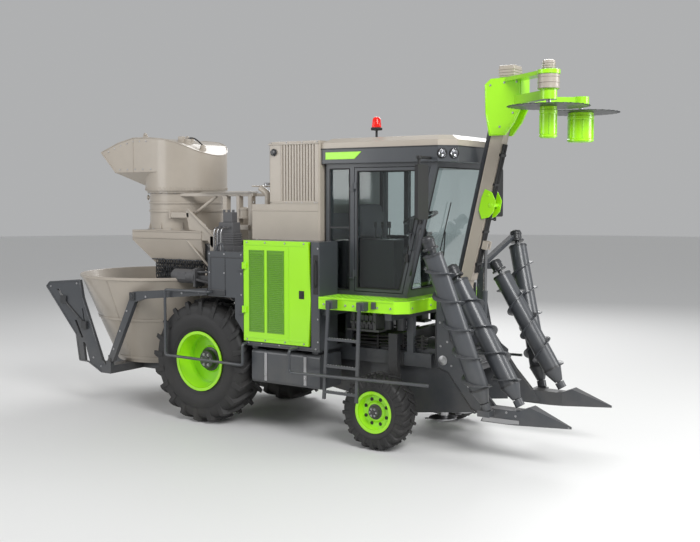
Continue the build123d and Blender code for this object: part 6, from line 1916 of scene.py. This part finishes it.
@dataclass
class Divider(Assembly):
    """Motors, scroll rings, wear strips, folds and bolts of one crop divider."""

    side: str = "right"
    outer: tuple[Point, Point] = ((3.6, 0.735, 0.6), (3.15, 1.05, 2.15))
    inner: tuple[Point, Point] = ((3.88, 0.567, 0.64), (3.17, 0.53, 1.84))
    tube: float = 0.1
    shoe_face: float = 0.6515
    plate_face: float = 0.502

    def axis(self, kind: str) -> tuple[Vector, Vector, Vector]:
        """Foot, top and direction of a scroll.

        Args:
            kind: "outer" or "inner".

        Returns:
            The foot, the top and the unit direction.
        """
        s = SIDES[self.side]
        foot, top = self.outer if kind == "outer" else self.inner
        a, b = at(foot[0], s * foot[1], foot[2]), at(top[0], s * top[1], top[2])
        return a, b, (b - a).normalized()

    def motors(self) -> None:
        """Ribbed motor covers and their bolts at the tops of both scrolls."""
        bench = self.bench
        for kind in ("outer", "inner"):
            _, top, d = self.axis(kind)
            body = bench.lathe(f"{kind}_motor_{self.side}",
                [(0, 0.004), (0.078, 0.004), (0.082, 0.008), (0.082, 0.022), (0.07, 0.028), (0.0635, 0.034),
                (0.0635, 0.085), (0.07, 0.088), (0.07, 0.104), (0.0645, 0.108), (0.0645, 0.124),
                (0.052, 0.14), (0.03, 0.146), (0.0, 0.146)], top, d, 40)
            self.fit(body, SLATE_DARK, f"divider_{self.side}", "slate_grey")
            ring = [(top + d * 0.022 + self.radial(d, 0.072, math.tau * k / 8), d) for k in range(8)]
            self.fit(bench.bolts(f"{kind}_motor_bolts_{self.side}", ring, 0.0065), BOLT,
                f"divider_{self.side}", "bare_steel")

    @staticmethod
    def radial(d: Vector, radius: float, angle: float) -> Vector:
        """An offset square to a direction.

        Args:
            d: The direction.
            radius: Length of the offset.
            angle: Angle round the direction.

        Returns:
            The offset.
        """
        u = d.orthogonal().normalized()
        v = d.cross(u)
        return u * (radius * math.cos(angle)) + v * (radius * math.sin(angle))

    def scroll_bands(self) -> None:
        """Foot collars and top rings on the turning tubes."""
        bench = self.bench
        for kind in ("outer", "inner"):
            foot, top, d = self.axis(kind)
            length = (top - foot).length
            rings = [bench.lathe("ring", [(self.tube - 0.004, h), (self.tube + 0.006, h + 0.002),
                (self.tube + 0.006, h + 0.02), (self.tube - 0.004, h + 0.022)], foot, d, 40)
                for h in (0.152, length - 0.066)]
            piece = bench.join(f"{kind}_scroll_rings_{self.side}", rings)
            self.fit(piece, SLATE_DARK, f"{kind}_scroll_{self.side}", "slate_grey")

    def shoe(self) -> None:
        """Wear strips, side plate seams and bolts on the shoe and the rear plate."""
        s, bench, body = SIDES[self.side], self.bench, f"divider_{self.side}"
        strips = [bench.plate("strip", [at(x, s * self.shoe_face, z)
            for x, z in ((3.53, 0.4), (3.8, 0.4), (3.94, 0.412), (3.94, 0.45), (3.55, 0.45))],
            Vector((0, s * 0.006, 0)), 0.002)]
        strips.append(bench.drum("nose", at(4.445, s * 0.594, 0.43), at(4.33, s * 0.594, 0.4345), 0.01, 16,
            0.003))
        self.fit(bench.join(f"shoe_wear_strips_{self.side}", strips), STEEL, body, "bare_steel")
        seats = [(at(x, s * 0.65, z), Vector((0, s, 0)))
            for x, z in ((3.56, 0.49), (3.66, 0.515), (3.8, 0.515), (3.9, 0.49))]
        seats += [(at(x, s * self.plate_face, z), Vector((0, s, 0)))
            for x, z in ((2.97, 1.1), (2.96, 1.35), (2.96, 1.58), (3.1, 0.9), (3.3, 0.7), (3.42, 0.6),
            (3.05, 1.15))]
        self.fit(bench.bolts(f"divider_bolts_{self.side}", seats, 0.009), BOLT, body, "bare_steel")
        folds = [bench.drum("fold", at(a[0], s * self.plate_face, a[1]), at(b[0], s * self.plate_face, b[1]),
            0.009, 10, 0.002) for a, b in zip([(2.915, 1.44), (2.915, 0.99), (2.93, 0.87), (3.06, 0.825),
            (3.33, 0.475), (3.51, 0.4)], [(2.915, 0.99), (2.93, 0.87), (3.06, 0.825), (3.33, 0.475),
            (3.51, 0.4), (3.69, 0.425)])]
        folds += [bench.drum("fold", at(a[0], s * self.plate_face, a[1]), at(b[0], s * self.plate_face, b[1]),
            0.009, 10, 0.002) for a, b in zip([(2.995, 1.63), (3.088, 1.18), (3.398, 0.76)],
            [(3.088, 1.18), (3.398, 0.76), (3.595, 0.545)])]
        self.fit(bench.join(f"divider_folds_{self.side}", folds), SLATE_DARK, body, "slate_grey")
        pin = bench.lathe(f"divider_pivot_cap_{self.side}",
            [(0, 0), (0.052, 0), (0.052, 0.006), (0.036, 0.01), (0.036, 0.018), (0.026, 0.022), (0, 0.022)],
            at(3.0, s * 0.5025, 0.95), Vector((0, s, 0)), 36)
        self.fit(pin, BOLT, body, "bare_steel")

    def build(self) -> None:
        """Makes the divider's pieces."""
        self.motors()
        self.scroll_bands()
        self.shoe()


# ------------------------------------------------------------------------------ studio
@dataclass
class Studio:
    """Pale floor, soft lights and the camera."""

    eye: Point = (7.876, -9.683, 2.676)
    yaw: float = 33.417
    pitch: float = -3.128
    lens: float = 50.57
    shift_y: float = -0.0284

    def floor(self) -> None:
        """A wide pale floor under the wheels."""
        Bench.clear()
        bpy.ops.mesh.primitive_circle_add(vertices=96, radius=60, fill_type="NGON", location=(0, 0, -0.001))
        ground = bpy.context.object
        ground.name = "studio_floor"
        paint = bpy.data.materials.new("pale_floor")
        paint.use_nodes = True
        surface = paint.node_tree.nodes["Principled BSDF"]
        surface.inputs["Base Color"].default_value = (0.8, 0.8, 0.795, 1)
        surface.inputs["Roughness"].default_value = 0.55
        ground.data.materials.append(paint)

    def light(self, name: str, place: Point, target: Point, size: float, power: float) -> None:
        """A soft square light.

        Args:
            name: Name of the light.
            place: Where it stands.
            target: What it points at.
            size: Its side in metres.
            power: Its power in watts.
        """
        lamp = bpy.data.lights.new(name, "AREA")
        lamp.size, lamp.energy = size, power
        obj = bpy.data.objects.new(name, lamp)
        bpy.context.collection.objects.link(obj)
        obj.location = place
        obj.rotation_euler = (Vector(target) - Vector(place)).to_track_quat("-Z", "Y").to_euler()

    def camera(self) -> None:
        """The camera at its measured place."""
        data = bpy.data.cameras.new("camera")
        data.lens, data.sensor_width = self.lens, 36.0
        data.shift_y = self.shift_y
        data.clip_end = 300
        obj = bpy.data.objects.new("camera", data)
        bpy.context.collection.objects.link(obj)
        obj.location = at(*self.eye)
        yaw, pitch = math.radians(self.yaw), math.radians(self.pitch)
        ahead = Vector((-math.sin(yaw) * math.cos(pitch), math.cos(yaw) * math.cos(pitch), math.sin(pitch)))
        obj.rotation_euler = ahead.to_track_quat("-Z", "Y").to_euler()
        bpy.context.scene.camera = obj
        bpy.context.scene.view_settings.view_transform = "Standard"

    def build(self) -> None:
        """Makes the floor, the world, the lights and the camera."""
        self.floor()
        world = bpy.data.worlds.new("studio")
        bpy.context.scene.world = world
        world.use_nodes = True
        back = world.node_tree.nodes["Background"]
        back.inputs["Color"].default_value = (0.86, 0.87, 0.88, 1)
        back.inputs["Strength"].default_value = 0.5
        self.light("key", (9.0, -6.0, 8.5), (0.0, 0.0, 1.4), 4.5, 980)
        self.light("fill", (-7.0, -9.0, 5.0), (-1.0, 0.0, 1.2), 5.0, 300)
        self.light("back", (-3.0, 9.0, 8.0), (0.0, 0.0, 2.0), 6.0, 620)
        self.light("front", (9.0, 3.0, 4.0), (2.0, 0.0, 1.5), 3.0, 220)
        self.camera()


NODE_FINISHES: dict[Finish | Clear, tuple[str, ...]] = {
    GREIGE: (
        "air_box", "radiator_box", "cab_roof", "extractor_hood", "extractor_ring", "extractor_chamber",
        "collection_tub", "topper_boom"),
    LIME: (
        "engine_cover_right", "engine_cover_left", "cab_deck", "topper_head", "rear_rim_right",
        "rear_rim_left", "front_rim_right", "front_rim_left"),
    SLATE: (
        "chassis_frame", "engine_bay", "front_frame", "tub_frame", "guard_rails", "ladder",
        "side_panel_right", "side_panel_left", "cab_shell", "cab_door", "crop_divider_right",
        "crop_divider_left", "outer_scroll_right", "outer_scroll_left", "inner_scroll_right",
        "inner_scroll_left", "fuel_tank", "hydraulic_tank", "topper_link", "boom_cylinder"),
    SLATE_DARK: (
        "front_axle", "rear_axle", "feed_channel", "steering_knuckle_right", "steering_knuckle_left"),
    CAST: ("engine_block",),
    STEEL: ("extractor_fan", "knockdown_roller", "base_cutter_right", "base_cutter_left"),
    BRIGHT_ROD: ("boom_rod",),
    PLASTIC: ("cab_controls", "mirrors"),
    GLASS: ("cab_glass", "cab_door_glass"),
}


def dress_nodes() -> None:
    """Gives every node that stays visible its finish."""
    for finish, names in NODE_FINISHES.items():
        for name in names:
            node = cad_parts[name]
            for place in node.material_slots:
                place.link = "OBJECT"
                place.material = finish.material()
            LOG.info("%s wears %s", name, finish.name)


def main() -> None:
    """Builds the studio, dresses the nodes and makes every assembly in order."""
    logging.basicConfig(level=logging.INFO, format="%(name)s: %(message)s")
    Studio().build()
    dress_nodes()
    assemblies: list[Assembly] = []
    for side in SIDES:
        assemblies.append(Wheel(end="rear", side=side))
        assemblies.append(Wheel(end="front", side=side, lugs=22, lug_height=0.02, lug_width=0.04, lead=0.085,
            rim_radius=0.225, face_inset=0.066, cap_radius=0.058, cap_length=0.03, nuts=8, nut_circle=0.092,
            nut_size=0.009, holes=8, hole_circle=0.138))
        assemblies.append(EngineCover(side=side))
        assemblies.append(Divider(side=side))
    assemblies += [BodyPanels(), Cab(), Underbody(), DeckAndLadder(), Extractor(), TubAndFrame(), Topper()]
    for assembly in assemblies:
        assembly.build()
        LOG.info("%s done", type(assembly).__name__)


if __name__ == "__main__":
    main()
